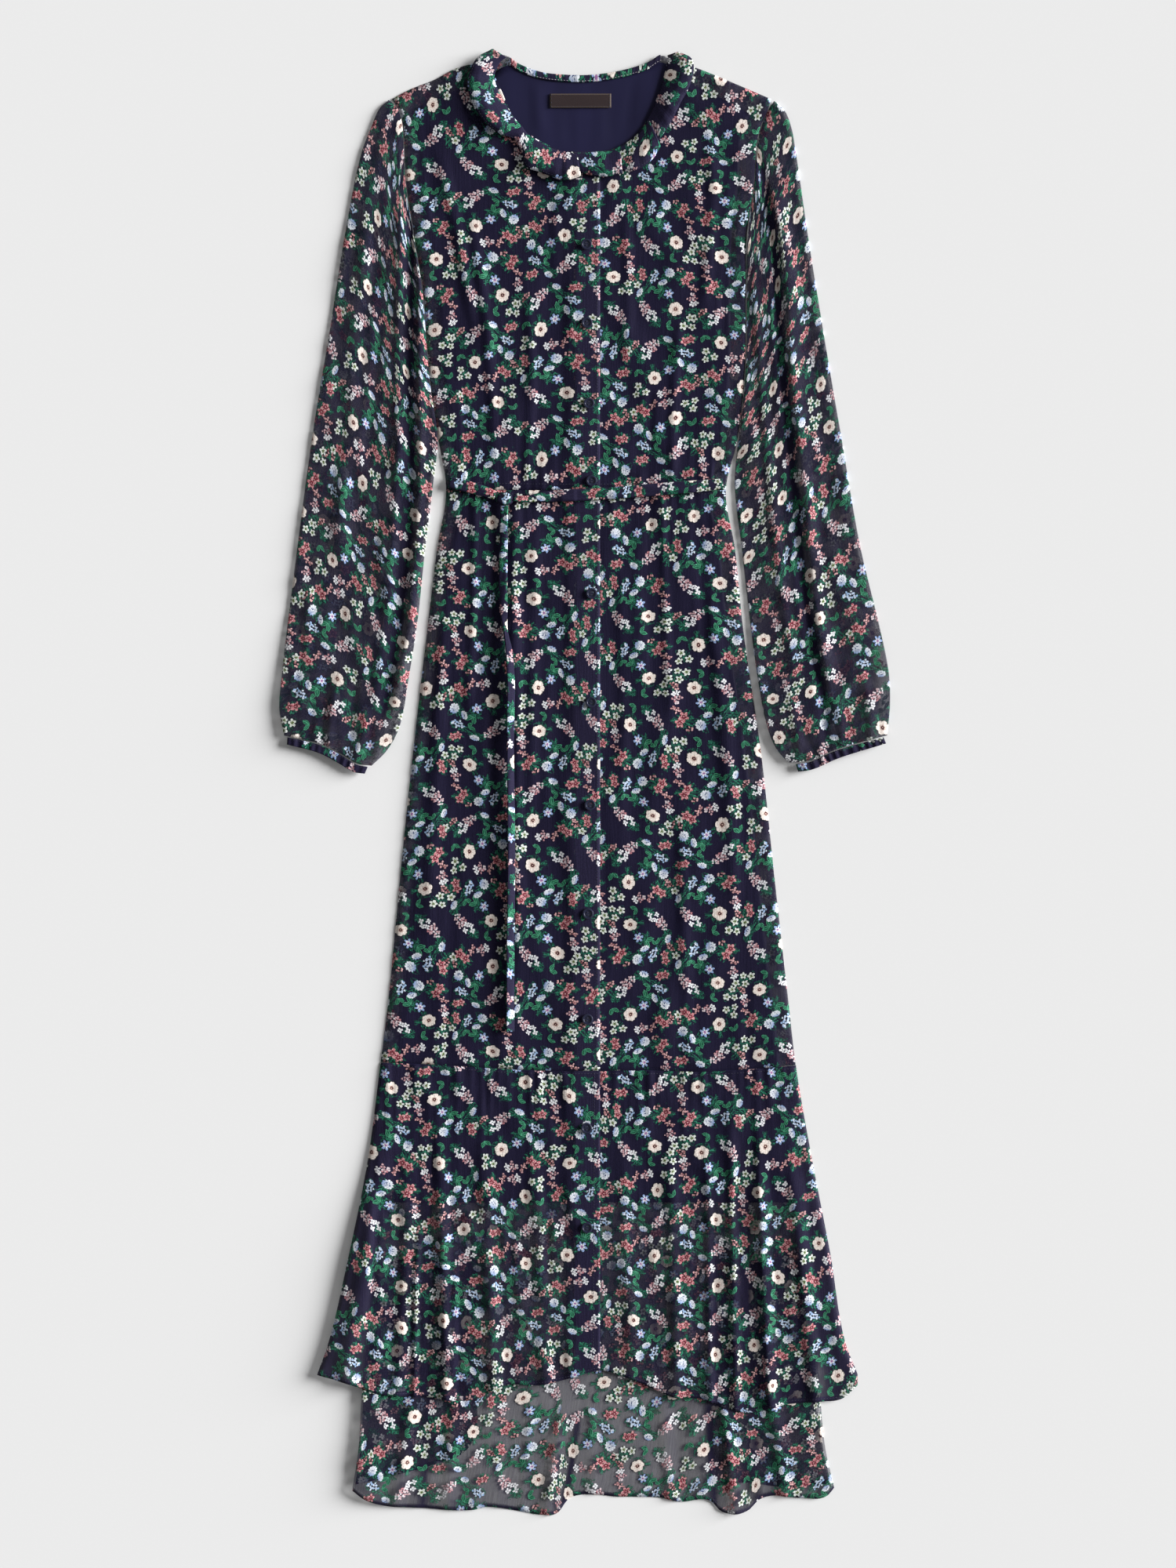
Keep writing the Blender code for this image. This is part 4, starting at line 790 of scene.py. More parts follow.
def ripple(plan: Array, seed: int, wide: float, long: float, height: float) -> Array:
    """Return the soft unevenness of cloth that was smoothed out by hand.

    Args:
        plan: The plan points.
        seed: The waves' seed.
        wide: The usual width of a wave, across the cloth.
        long: The usual length of a wave, down the cloth.
        height: The waves' usual height.
    """
    chance = np.random.default_rng(seed)
    x, drop = plan[..., 0], plan[..., 1]
    total = np.zeros_like(x)
    for _ in range(7):
        across = 2 * math.pi / (wide * chance.uniform(0.6, 1.8))
        down = 2 * math.pi / (long * chance.uniform(0.5, 1.8)) * chance.choice([-1.0, 1.0])
        sway = 0.9 * np.sin(drop * 2 * math.pi / (long * chance.uniform(0.5, 1.1)) + chance.uniform(0,
            6.3))
        total += np.sin(x * across + drop * down + sway + chance.uniform(0, 6.3))
    return height * total / math.sqrt(7)


class Crease(NamedTuple):
    """A fold of the cloth along a line: a soft ridge, or a trough where its rise is negative."""

    path: tuple[Plan, ...]
    rise: float
    right: float                  # width of the flank towards -X
    left: float                   # width of the flank towards +X
    start: float = 0.25           # share of its length over which it begins
    stop: float = 0.25            # and over which it ends
    hold: float = 0.0             # how many more layers of cloth it holds at its line


def crease_forms(plan: Array, creases: Sequence[Crease]) -> tuple[Array, Array]:
    """Return the height that creases give at plan points, and the extra layers that they hold."""
    height = np.zeros(plan.shape[:-1])
    layers = np.zeros(plan.shape[:-1])
    points = plan.reshape(-1, 2)
    for crease in creases:
        path = trace(crease.path, np.linspace(0.0, 1.0, 36))
        reach = max(crease.right, crease.left)
        low, high = path.min(axis=0) - reach, path.max(axis=0) + reach
        near = np.all((points > low) & (points < high), axis=1)
        if not near.any():
            continue
        a, b = path[:-1], path[1:]
        step = b - a
        from_a = points[near][:, None] - a[None]
        t = np.clip((from_a * step).sum(-1) / (step * step).sum(-1), 0.0, 1.0)
        off = from_a - t[..., None] * step
        away = np.linalg.norm(off, axis=-1)
        k = away.argmin(axis=1)
        row = np.arange(len(k))
        side = step[k, 1] * off[row, k, 0] - step[k, 0] * off[row, k, 1]
        along = (k + t[row, k]) / len(step)
        width = np.where(side > 0, crease.left, crease.right)
        profile = 0.5 + 0.5 * np.cos(math.pi * np.clip(away[row, k] / width, 0.0, 1.0))
        profile *= smoothstep(along / max(crease.start, 1e-6))
        profile *= smoothstep((1.0 - along) / max(crease.stop, 1e-6))
        flat = np.flatnonzero(near)
        height.reshape(-1)[flat] += crease.rise * profile
        held = layers.reshape(-1)
        held[flat] = np.maximum(held[flat], crease.hold * profile)
    return height, layers


# ---------------------------------------------------------------- meshes

@dataclass
class Cloth:
    """A piece of cloth as a grid, before it becomes a mesh.

    Attributes:
        points: Rows, columns and (x, drop, z) of its middle surface, from -X to +X on top.
        place: Rows, columns and the place on the cloth, in millimetres.
        layers: How many extra layers lie within it at each point.
        round: Whether the columns close round into a tube.
    """

    points: Array
    place: Array
    layers: Array | None = None
    round: bool = False


def to_world(points: Array) -> Array:
    """Return the places in metres of points of the dress."""
    x, drop, z = points[..., 0], points[..., 1], points[..., 2]
    return np.stack([(x + CENTRE_FRONT_X) * MM, (TOP_Y - drop) * MM, z * MM], axis=-1)


def raised(plan: Array, level: Array) -> Array:
    """Return (x, drop, z) from plan points and their heights."""
    return np.concatenate([plan, level[..., None]], axis=-1)


def directions(grid: Array, round_: bool) -> Array:
    """Return the unit normals of a grid of points."""
    if round_:
        across = np.roll(grid, -1, axis=1) - np.roll(grid, 1, axis=1)
    else:
        across = np.gradient(grid, axis=1)
    down = np.gradient(grid, axis=0)
    normal = np.cross(across, -down)
    size = np.linalg.norm(normal, axis=-1, keepdims=True)
    return normal / np.maximum(size, 1e-12)


def shell(name: str, cloth: Cloth, material: bpy.types.Material, thick: float = 0.35,
        under: bpy.types.Material | None = None) -> bpy.types.Object:
    """Make a closed thin shell from a grid of cloth.

    Args:
        name: The piece's name.
        cloth: The grid.
        material: The material.
        thick: The shell's thickness in millimetres.
        under: A second material for its underside, if it has one.

    Returns:
        The new object.
    """
    middle = to_world(cloth.points)
    offset = directions(middle, cloth.round) * (0.5 * thick * MM)
    rows, columns = middle.shape[:2]
    verts = np.concatenate([(middle + offset).reshape(-1, 3), (middle - offset).reshape(-1, 3)])
    number = np.arange(rows * columns).reshape(rows, columns)
    wide = columns if cloth.round else columns - 1
    i, j = np.meshgrid(np.arange(rows - 1), np.arange(wide), indexing="ij")
    corners = [(i, j), (i + 1, j), (i + 1, j + 1), (i, j + 1)]
    top = np.stack([number[a, b % columns] for a, b in corners], axis=-1).reshape(-1, 4)
    place = cloth.place
    top_place = np.stack([place[a, b] for a, b in corners], axis=-2).reshape(-1, 4, 2)
    faces = [top, top[:, ::-1] + rows * columns]
    places = [top_place, top_place[:, ::-1]]

    if cloth.round:
        k = np.arange(columns)
        ends = [(number[0], k, k + 1, 0), (number[-1], k + 1, k, rows - 1)]
        for ring, a, b, row in ends:
            edge = np.stack([ring[a % columns], ring[b % columns], ring[b % columns] + rows * columns,
                ring[a % columns] + rows * columns], axis=-1)
            faces.append(edge)
            places.append(np.stack([place[row, a], place[row, b], place[row, b], place[row, a]],
                axis=1))
    else:
        way = ([(r, 0) for r in range(rows - 1)] + [(rows - 1, c) for c in range(columns - 1)] + [(r,
            columns - 1) for r in range(rows - 1, 0, -1)] + [(0, c) for c in range(columns - 1, 0, -1)])
        around = np.array(way + way[:1])
        loop = number[around[:, 0], around[:, 1]]
        a, b = loop[:-1], loop[1:]
        faces.append(np.stack([a, a + rows * columns, b + rows * columns, b], axis=-1))
        edge_place = place[around[:, 0], around[:, 1]]
        places.append(np.stack([edge_place[:-1], edge_place[:-1], edge_place[1:], edge_place[1:]],
            axis=1))

    all_faces = np.concatenate(faces)
    mesh = bpy.data.meshes.new(name)
    mesh.from_pydata(verts.tolist(), [], all_faces.tolist())
    smooth = np.ones(len(all_faces), dtype=bool)
    smooth[2 * len(top):] = False
    mesh.polygons.foreach_set("use_smooth", smooth)
    uv = mesh.uv_layers.new(name="cloth")
    uv.data.foreach_set("uv", (np.concatenate(places) * MM).astype(np.float32).ravel())
    layers = np.zeros((rows, columns)) if cloth.layers is None else cloth.layers
    extra = mesh.attributes.new("extra_layers", "FLOAT", "POINT")
    extra.data.foreach_set("value", np.tile(layers.ravel(), 2).astype(np.float32))
    mesh.materials.append(material)
    if under is not None:
        mesh.materials.append(under)
        slots = np.zeros(len(all_faces), dtype=np.int32)
        slots[len(top):2 * len(top)] = 1
        mesh.polygons.foreach_set("material_index", slots)
    mesh.validate()
    mesh.update()
    return placed(name, mesh)


def report(piece: bpy.types.Object, nodes: Sequence[str]) -> bpy.types.Object:
    """Fit a finished piece into the frame, and log it.

    Args:
        piece: The piece.
        nodes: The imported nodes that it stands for.

    Returns:
        The piece.
    """
    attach(piece, BODY)
    if nodes:
        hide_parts(*nodes)
    LOG.info("%s: %d faces", piece.name, len(piece.data.polygons))
    return piece


# ---------------------------------------------------------------- the dress's plan

class Side(Enum):
    """The wearer's sides, with the sign of x on each."""

    RIGHT = -1
    LEFT = 1

    def key(self) -> str:
        """Return the side's name as the nodes have it."""
        return self.name.lower()


@dataclass(frozen=True)
class DressPlan:
    """The outlines and layers that the pieces share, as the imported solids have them."""

    # Drop, and x of the right and the left edge.
    sides: tuple[tuple[float, float, float], ...] = (
        (48, -195, 182), (61, -187, 178), (74, -184, 172), (90, -183, 168), (130, -181, 165),
        (183, -173, 158), (240, -164, 157), (319, -158, 156), (385, -149, 149),
        (437, -141, 137), (495, -150, 146), (573, -159.5, 154), (698, -174, 172),
        (823, -187, 185.5), (948, -199, 199.5), (1012, -207, 207), (1104, -219, 223),
        (1197, -237.5, 241), (1285, -258, 256), (1316, -269, 268))
    back_sides: tuple[tuple[float, float, float], ...] = (
        (1012, -207, 207), (1150, -211, 215), (1290, -220, 227), (1340, -225, 231),
        (1390, -228, 236), (1430, -234, 245))
    shoulder_right: tuple[Plan, ...] = ((-195, 48), (-176, 38), (-151, 28), (-132, 18), (-95, 8))
    shoulder_left: tuple[Plan, ...] = ((80, 8), (108, 17), (135, 28), (159, 38), (182, 48))
    back_neck: tuple[Plan, ...] = ((-95, 8), (-83, 4), (-69, 13), (-48, 21), (-24, 24), (6, 24),
                                   (41, 18), (61, 11), (74, 4), (80, 8))
    flounce_seam: tuple[Plan, ...] = ((-207, 1006), (-140, 1009), (-53, 1014), (62, 1014),
                                      (120, 1015), (207, 1009))
    front_hem: tuple[Plan, ...] = (
        (-269, 1316), (-237, 1325), (-205, 1336), (-168, 1338), (-112, 1341), (-83, 1327),
        (-50, 1327), (-14, 1319), (12, 1312), (34, 1318), (62, 1329), (82, 1338), (115, 1341),
        (138, 1350), (162, 1354), (197, 1346), (230, 1343), (253, 1340), (268, 1327))
    back_hem: tuple[Plan, ...] = (
        (-234, 1431), (-222, 1440), (-204, 1446), (-166, 1449), (-114, 1451), (-101, 1448),
        (-70, 1452), (-46, 1456), (-30, 1454), (-20, 1441), (-6, 1436), (30, 1438), (72, 1439),
        (92, 1443), (122, 1442), (132, 1452), (146, 1455), (160, 1451), (170, 1441),
        (182, 1437), (213, 1439), (238, 1437), (245, 1429))
    neck: float = 101.0           # drops of the lines across the dress
    waist: float = 437.0
    flounce: float = 1012.0
    lining_end: float = 1145.0
    placket: float = 12.0         # x of the lapping front's edge
    underlap: float = -14.0       # and of the edge below it
    lap_foot: float = -26.0
    facing_edge: float = 13.0     # how far the placket's facing reaches past the centre
    lap_ramp: float = 8.0
    lap_rise: float = 1.3
    back_level: float = 0.5       # heights of the layers' middle surfaces
    lining_level: float = 1.7
    front_level: float = 3.1
    edge_level: float = 0.85      # where a front comes down to the back
    armhole_level: float = 2.0    # where a front is sewn to a sleeve
    fall: float = 6.5
    lift: float = 5.5             # how far the flounce's edge lifts, which casts its soft shadow
    curl_start: tuple[float, float] = (-165.0, 1030.0)   # (x, drop) where that lift starts

    def side_x(self, drop: Array, side: Side) -> Array:
        """Return the x of the dress's edge at some drops."""
        column = 1 if side is Side.RIGHT else 2
        return read([(row[0], row[column]) for row in self.sides], drop)

    def back_side_x(self, drop: Array, side: Side) -> Array:
        """Return the x of the flounce's back edge at some drops."""
        column = 1 if side is Side.RIGHT else 2
        return read([(row[0], row[column]) for row in self.back_sides], drop)

    def inside(self, plan: Array) -> Array:
        """Return how far plan points lie inside the dress's edges."""
        x, drop = plan[..., 0], plan[..., 1]
        return np.minimum(x - self.side_x(drop, Side.RIGHT), self.side_x(drop, Side.LEFT) - x)

    def facing(self, x: Array, side: Side) -> Array:
        """Return 1 where a front's placket facing lies below it."""
        return smoothstep((self.facing_edge + x * -side.value) / 0.6)

    def lap(self, x: Array, margin: float = 0.0) -> Array:
        """Return how far the lapping front rises at x, on a lap widened by a margin."""
        up = smoothstep((x - self.lap_foot + margin) / self.lap_ramp)
        past = smoothstep((x - self.placket - margin) / self.lap_ramp)
        return self.lap_rise * (up - past)

    def front(self, plan: Array) -> Array:
        """Return the height of a front, which comes down to the back at the dress's edges."""
        x, drop = plan[..., 0], plan[..., 1]
        beside = self.inside(plan)
        foot = self.armhole_level + ((self.edge_level - self.armhole_level) * smoothstep((drop - 140.0)
            / 50.0))
        shoulder = np.where(x < 0, drop - read(self.shoulder_right, x),
                            drop - read(self.shoulder_left, x))
        outside_neck = np.where(x < 0, x < self.shoulder_right[-1][0],
                                x > self.shoulder_left[0][0])
        at_side = foot + (self.front_level - foot) * round_over(beside / self.fall)
        at_shoulder = self.edge_level + ((self.front_level - self.edge_level) * round_over(shoulder /
            self.fall))
        return np.where(outside_neck, np.minimum(at_side, at_shoulder), at_side)

    def panel(self, plan: Array, side: Side) -> Array:
        """Return the height of one front: the right one laps over the left."""
        level = self.front(plan)
        if side is Side.RIGHT:
            level = level + self.lap(np.minimum(plan[..., 0], self.placket))
        return level

    def off_placket(self, x: Array) -> Array:
        """Return how freely cloth folds at x: the doubled placket below the buttons is calmer."""
        return 0.2 + 0.8 * smoothstep((np.abs(x) - 8.0) / 14.0)

    def curl(self, plan: Array) -> Array:
        """Return how far the flounce's edge towards -X stands off the floor."""
        x, drop = plan[..., 0], plan[..., 1]
        beyond, below = self.curl_start
        return self.lift * smoothstep((beyond - x) / 70.0) * smoothstep((drop - below) / 190.0)

    def on_front(self, plan: Array) -> Array:
        """Return the height of what lies on the fronts."""
        return self.front(plan) + 0.5 + self.lap(plan[..., 0], margin=3.0)


PLAN = DressPlan()


# ---------------------------------------------------------------- stitches

class Thread(Enum):
    """The two sewing threads."""

    NAVY = "navy_stitches"
    PALE = "pale_stitches"


def node_input(tree: bpy.types.NodeTree, name: str, kind: str) -> str:
    """Give a node tree a named input, and return its identifier."""
    return tree.interface.new_socket(name, in_out="INPUT", socket_type=kind).identifier


def realized(piece: bpy.types.Object, tree: bpy.types.NodeTree,
        inputs: dict[str, Any]) -> bpy.types.Object:
    """Run a Geometry Nodes tree on a piece, and keep its result as a plain mesh.

    Args:
        piece: The piece that carries the tree's points.
        tree: The tree.
        inputs: A value for each input's identifier.

    Returns:
        The piece, with its new mesh and no modifier.
    """
    grown = piece.modifiers.new("grow", "NODES")
    grown.node_group = tree
    for name, value in inputs.items():
        grown[name] = value
    view = bpy.context.evaluated_depsgraph_get()
    mesh = bpy.data.meshes.new_from_object(piece.evaluated_get(view))
    piece.modifiers.clear()
    piece.data = mesh
    return piece


@dataclass
class Stitching:
    """The rows of stitches: gathered while the cloth is made, then sewn in one pass."""

    pitch: float = 3.0            # mm from stitch to stitch
    long: float = 2.2
    thick: float = 0.40           # the real thread is near 0.2 mm, too fine to show
    seed: int = 7
    rows: dict[Thread, list[Array]] = field(default_factory=lambda: {t: [] for t in Thread})

    def row(self, points: Array, thread: Thread = Thread.NAVY, lift: float = 0.26) -> None:
        """Add a row of stitches along points of a cloth's middle surface."""
        self.rows[thread].append(points + np.array([0.0, 0.0, lift]))

    def tree(self) -> tuple[bpy.types.NodeTree, dict[str, str]]:
        """Build the tree that sets stitches along a piece's edges.

        Returns:
            The tree, and each input's identifier by its name.
        """
        tree = bpy.data.node_groups.new("stitch_row", "GeometryNodeTree")
        tree.interface.new_socket("Geometry", in_out="OUTPUT", socket_type="NodeSocketGeometry")
        kinds = (("Rows", "Geometry"), ("Pitch", "Float"), ("Size", "Vector"), ("Seed", "Int"),
                 ("Thread", "Material"))
        names = {name: node_input(tree, name, "NodeSocket" + kind) for name, kind in kinds}
        given = add(tree, "NodeGroupInput")
        curve = add(tree, "GeometryNodeMeshToCurve", {0: given.outputs["Rows"]})
        curve = add(tree, "GeometryNodeResampleCurve", {"Curve": curve,
            "Length": given.outputs["Pitch"]}, mode="LENGTH")
        along = add(tree, "GeometryNodeInputTangent")
        turn = add(tree, "FunctionNodeAlignRotationToVector", {"Vector": along}, axis="X")
        stitch = add(tree, "GeometryNodeMeshUVSphere", {"Segments": 6, "Rings": 4, "Radius": 0.5})
        uneven = add(tree, "FunctionNodeRandomValue", {2: 0.82, 3: 1.12, "Seed": given.outputs["Seed"]},
            data_type="FLOAT")
        size = add(tree, "VectorMath", {0: given.outputs["Size"], "Scale": uneven.outputs[1]},
            operation="SCALE")
        sewn = add(tree, "GeometryNodeInstanceOnPoints", {"Points": curve, "Instance": stitch,
            "Rotation": turn, "Scale": size})
        plain = add(tree, "GeometryNodeRealizeInstances", {0: sewn})
        done = add(tree, "GeometryNodeSetMaterial", {0: plain, "Material": given.outputs["Thread"]})
        add(tree, "NodeGroupOutput", {0: done})
        return tree, names

    def make(self, finishes: Finishes) -> None:
        """Sew every row that has been gathered."""
        tree, names = self.tree()
        for thread, rows in self.rows.items():
            verts = to_world(np.concatenate(rows))
            starts = np.cumsum([0] + [len(row) for row in rows])
            edges = [(k, k + 1) for a, b in zip(starts[:-1], starts[1:]) for k in range(a, b - 1)]
            mesh = bpy.data.meshes.new(thread.value)
            mesh.from_pydata(verts.tolist(), edges, [])
            piece = placed(thread.value, mesh)
            colour = finishes.navy_thread if thread is Thread.NAVY else finishes.pale_thread
            size = (self.long * MM, self.thick * MM, self.thick * MM)
            realized(piece, tree, {names["Pitch"]: self.pitch * MM, names["Size"]: size,
                names["Seed"]: self.seed, names["Thread"]: colour})
            report(piece, [])


# ---------------------------------------------------------------- the pieces

@dataclass
class Finishes:
    """The dress's materials, each made once."""

    print: FloralPrint = field(default_factory=FloralPrint)
    single: bpy.types.Material | None = None
    double: bpy.types.Material | None = None
    reverse: bpy.types.Material | None = None
    lining: bpy.types.Material | None = None
    label: bpy.types.Material | None = None
    resin: bpy.types.Material | None = None
    stitching: Stitching = field(default_factory=Stitching)
    navy_thread: bpy.types.Material | None = None
    pale_thread: bpy.types.Material | None = None

    def make(self) -> Finishes:
        """Make every material, and return the set."""
        chiffon = CrinkledChiffon()
        group = self.print.group()
        self.single = chiffon.material(group, Layering.SINGLE)
        self.double = chiffon.material(group, Layering.DOUBLE)
        self.reverse = chiffon.reverse()
        self.lining = PlainLining().material()
        self.label = WovenLabel().material()
        self.resin = ButtonResin().material()
        self.navy_thread = SewingThread().material()
        self.pale_thread = SewingThread("#cfc9cf").material()
        return self


def spring(folds: Array, room: float = 0.75) -> Array:
    """Return folds that stay clear of the cloth below: troughs flatten out near their room."""
    return np.where(folds < 0.0, room * np.tanh(folds / room), folds)


def seam_dip(away: Array, depth: float = 0.7, reach: float = 3.0) -> Array:
    """Return how cloth sinks towards a seam, from its distance away."""
    return -depth * (1.0 - smoothstep(np.abs(away) / reach))


def gathers(plan: Array, seam_drop: Array, seed: int, pitch: float, reach: float,
        height: float) -> Array:
    """Return the small folds that run from a gathered seam and die out.

    Args:
        plan: The plan points.
        seam_drop: The seam's drop at each point.
        seed: The folds' seed.
        pitch: The usual distance between folds.
        reach: How far a fold usually runs.
        height: The folds' height at the seam.
    """
    chance = np.random.default_rng(seed)
    x = plan[..., 0]
    away = np.abs(plan[..., 1] - seam_drop)
    total = np.zeros_like(x)
    for _ in range(3):
        turn = 2 * math.pi / (pitch * chance.uniform(0.7, 1.7))
        swing = 1.2 * np.sin(x * turn * 0.23 + chance.uniform(0, 6.3))
        run = reach * chance.uniform(0.6, 1.5) * (1.0 + 0.6 * np.sin(x * turn * 0.31))
        total += np.sin(x * turn + swing + chance.uniform(0, 6.3)) * np.exp(-away / run)
    return height * total / math.sqrt(3)


@dataclass
class Bodice:
    """The bodice: two fronts, the right one lapping, and the back that shows at the neck."""

    finishes: Finishes
    step: float = 3.3
    armhole_fade: float = 3.0
    neck_line_waist: dict[Side, float] = field(default_factory=lambda: {Side.RIGHT: -116.0,
        Side.LEFT: 112.0})
    neck_right: tuple[Plan, ...] = ((-95, 8), (-93, 24), (-86, 40), (-73, 68), (-56, 85),
                                    (-26, 100))
    neck_left: tuple[Plan, ...] = ((12, 101), (33, 95), (53, 78), (64, 60), (71, 40), (76, 26),
                                   (80, 8))
    creases: tuple[Crease, ...] = (
        Crease(((-150, 90), (-128, 190), (-110, 300)), 2.2, 10.2, 10),
        Crease(((-118, 150), (-100, 280), (-92, 425)), 2.0, 9.3, 9),
        Crease(((-165, 60), (-158, 120), (-150, 180)), -1.5, 6, 6),
        Crease(((-60, 230), (-56, 330), (-60, 430)), 1.7, 8.5, 8, stop=0.05),
        Crease(((-125, 330), (-120, 390), (-118, 434)), -1.7, 5, 5, stop=0.05),
        Crease(((120, 60), (124, 150), (112, 280)), 2.0, 10.2, 10),
        Crease(((63, 330), (62, 385), (61, 434)), -2.4, 6, 5, stop=0.02),
        Crease(((92, 250), (86, 340), (84, 434)), 1.9, 8.5, 8, stop=0.05),
        Crease(((150, 110), (140, 200), (132, 300)), -1.4, 7, 6),
        Crease(((35, 130), (40, 220), (38, 330)), 1.5, 9.3, 9),
        Crease(((-35, 120), (-40, 200), (-34, 300)), -1.2, 8, 7))

    def make(self) -> None:
        """Make the two fronts and the back."""
        self.front(Side.RIGHT)
        self.front(Side.LEFT)
        self.back()

    def front_grid(self, side: Side) -> Array:
        """Return one front's plan points."""
        rows = np.linspace(0.0, 1.0, round(395 / self.step))
        side_drops = 48.0 + rows * (PLAN.waist - 0.15 - 48.0)
        centre_drops = PLAN.neck + rows * (PLAN.waist - 0.15 - PLAN.neck)
        beside = line(PLAN.side_x(side_drops, side), side_drops)
        turn = self.neck_line_waist[side]
        edge = beside[-1, 0]
        if side is Side.RIGHT:
            knots = [(PLAN.shoulder_right, (edge, turn)),
                     (self.neck_right, (turn, PLAN.lap_foot)),
                     (((PLAN.lap_foot, 100), (PLAN.placket, 101)),
                      (PLAN.lap_foot, PLAN.placket))]
            centre = line(PLAN.placket, centre_drops)
        else:
            knots = [(((PLAN.underlap, 101), (PLAN.placket, 101)),
                      (PLAN.underlap, PLAN.placket)),
                     (self.neck_left, (PLAN.placket, turn)),
                     (PLAN.shoulder_left, (turn, edge))]
            centre = line(PLAN.underlap, centre_drops)
        top, bottom = [], []
        for curve, (start, end) in knots:
            count = shares(lengths(np.array(curve, float))[-1], self.step)
            first = 1 if top else 0
            top.append(trace(curve, count)[first:])
            bottom.append(line(start + count * (end - start), PLAN.waist - 0.15)[first:])
        ends = (beside, centre) if side is Side.RIGHT else (centre, beside)
        return patch(np.concatenate(top), np.concatenate(bottom), *ends, fade=self.armhole_fade)

    def level(self, plan: Array, side: Side) -> tuple[Array, Array]:
        """Return one front's height, and the extra layers in its folds."""
        x, drop = plan[..., 0], plan[..., 1]
        level = PLAN.panel(plan, side)
        rise, layers = crease_forms(plan, self.creases)
        inside = PLAN.inside(plan)
        calm = smoothstep(inside / 14.0)
        folds = rise + ripple(plan, 11 + side.value, 46.0, 150.0, 0.75)
        folds = folds + gathers(plan, PLAN.waist, 21 + side.value, 8.5, 26.0, 0.6)
        calm = calm * PLAN.off_placket(x)
        return level + calm * spring(folds) + seam_dip(PLAN.waist - drop), layers

    def front(self, side: Side) -> None:
        """Make one front."""
        plan = self.front_grid(side)
        x, drop = plan[..., 0], plan[..., 1]
        level, layers = self.level(plan, side)
        facing = PLAN.facing(x, side)
        shift = (0.0, 0.0) if side is Side.RIGHT else (23.0, 17.0)
        place = plan + np.array(shift)
        points = raised(plan, level)
        name = f"bodice_front_{side.key()}"
        piece = shell(name + "_cloth", Cloth(points, place, np.maximum(layers, facing)),
            self.finishes.single, under=self.finishes.reverse)
        if side is Side.RIGHT:
            self.finishes.stitching.row(points[1:-1, -2])
        self.finishes.stitching.row(points[-3])
        report(piece, [name])

    def back(self) -> None:
        """Make the back."""
        step = 6.0
        outline = PLAN.shoulder_right + PLAN.back_neck[1:] + PLAN.shoulder_left[1:]
        top = trace(outline, shares(lengths(np.array(outline, float))[-1], step))
        rows = np.linspace(0.0, 1.0, round(390 / step))
        drops = 48.0 + rows * (PLAN.waist - 0.15 - 48.0)
        right = line(PLAN.side_x(drops, Side.RIGHT), drops)
        left = line(PLAN.side_x(drops, Side.LEFT), drops)
        bottom = line(np.linspace(right[-1, 0], left[-1, 0], len(top)), PLAN.waist - 0.15)
        plan = patch(top, bottom, right, left)
        level = PLAN.back_level + 0.12 * ripple(plan, 31, 60.0, 200.0, 1.0)
        points = raised(plan, level)
        piece = shell("bodice_back_cloth", Cloth(points, plan + 31.0), self.finishes.reverse,
            under=self.finishes.single)
        report(piece, ["bodice_back"])


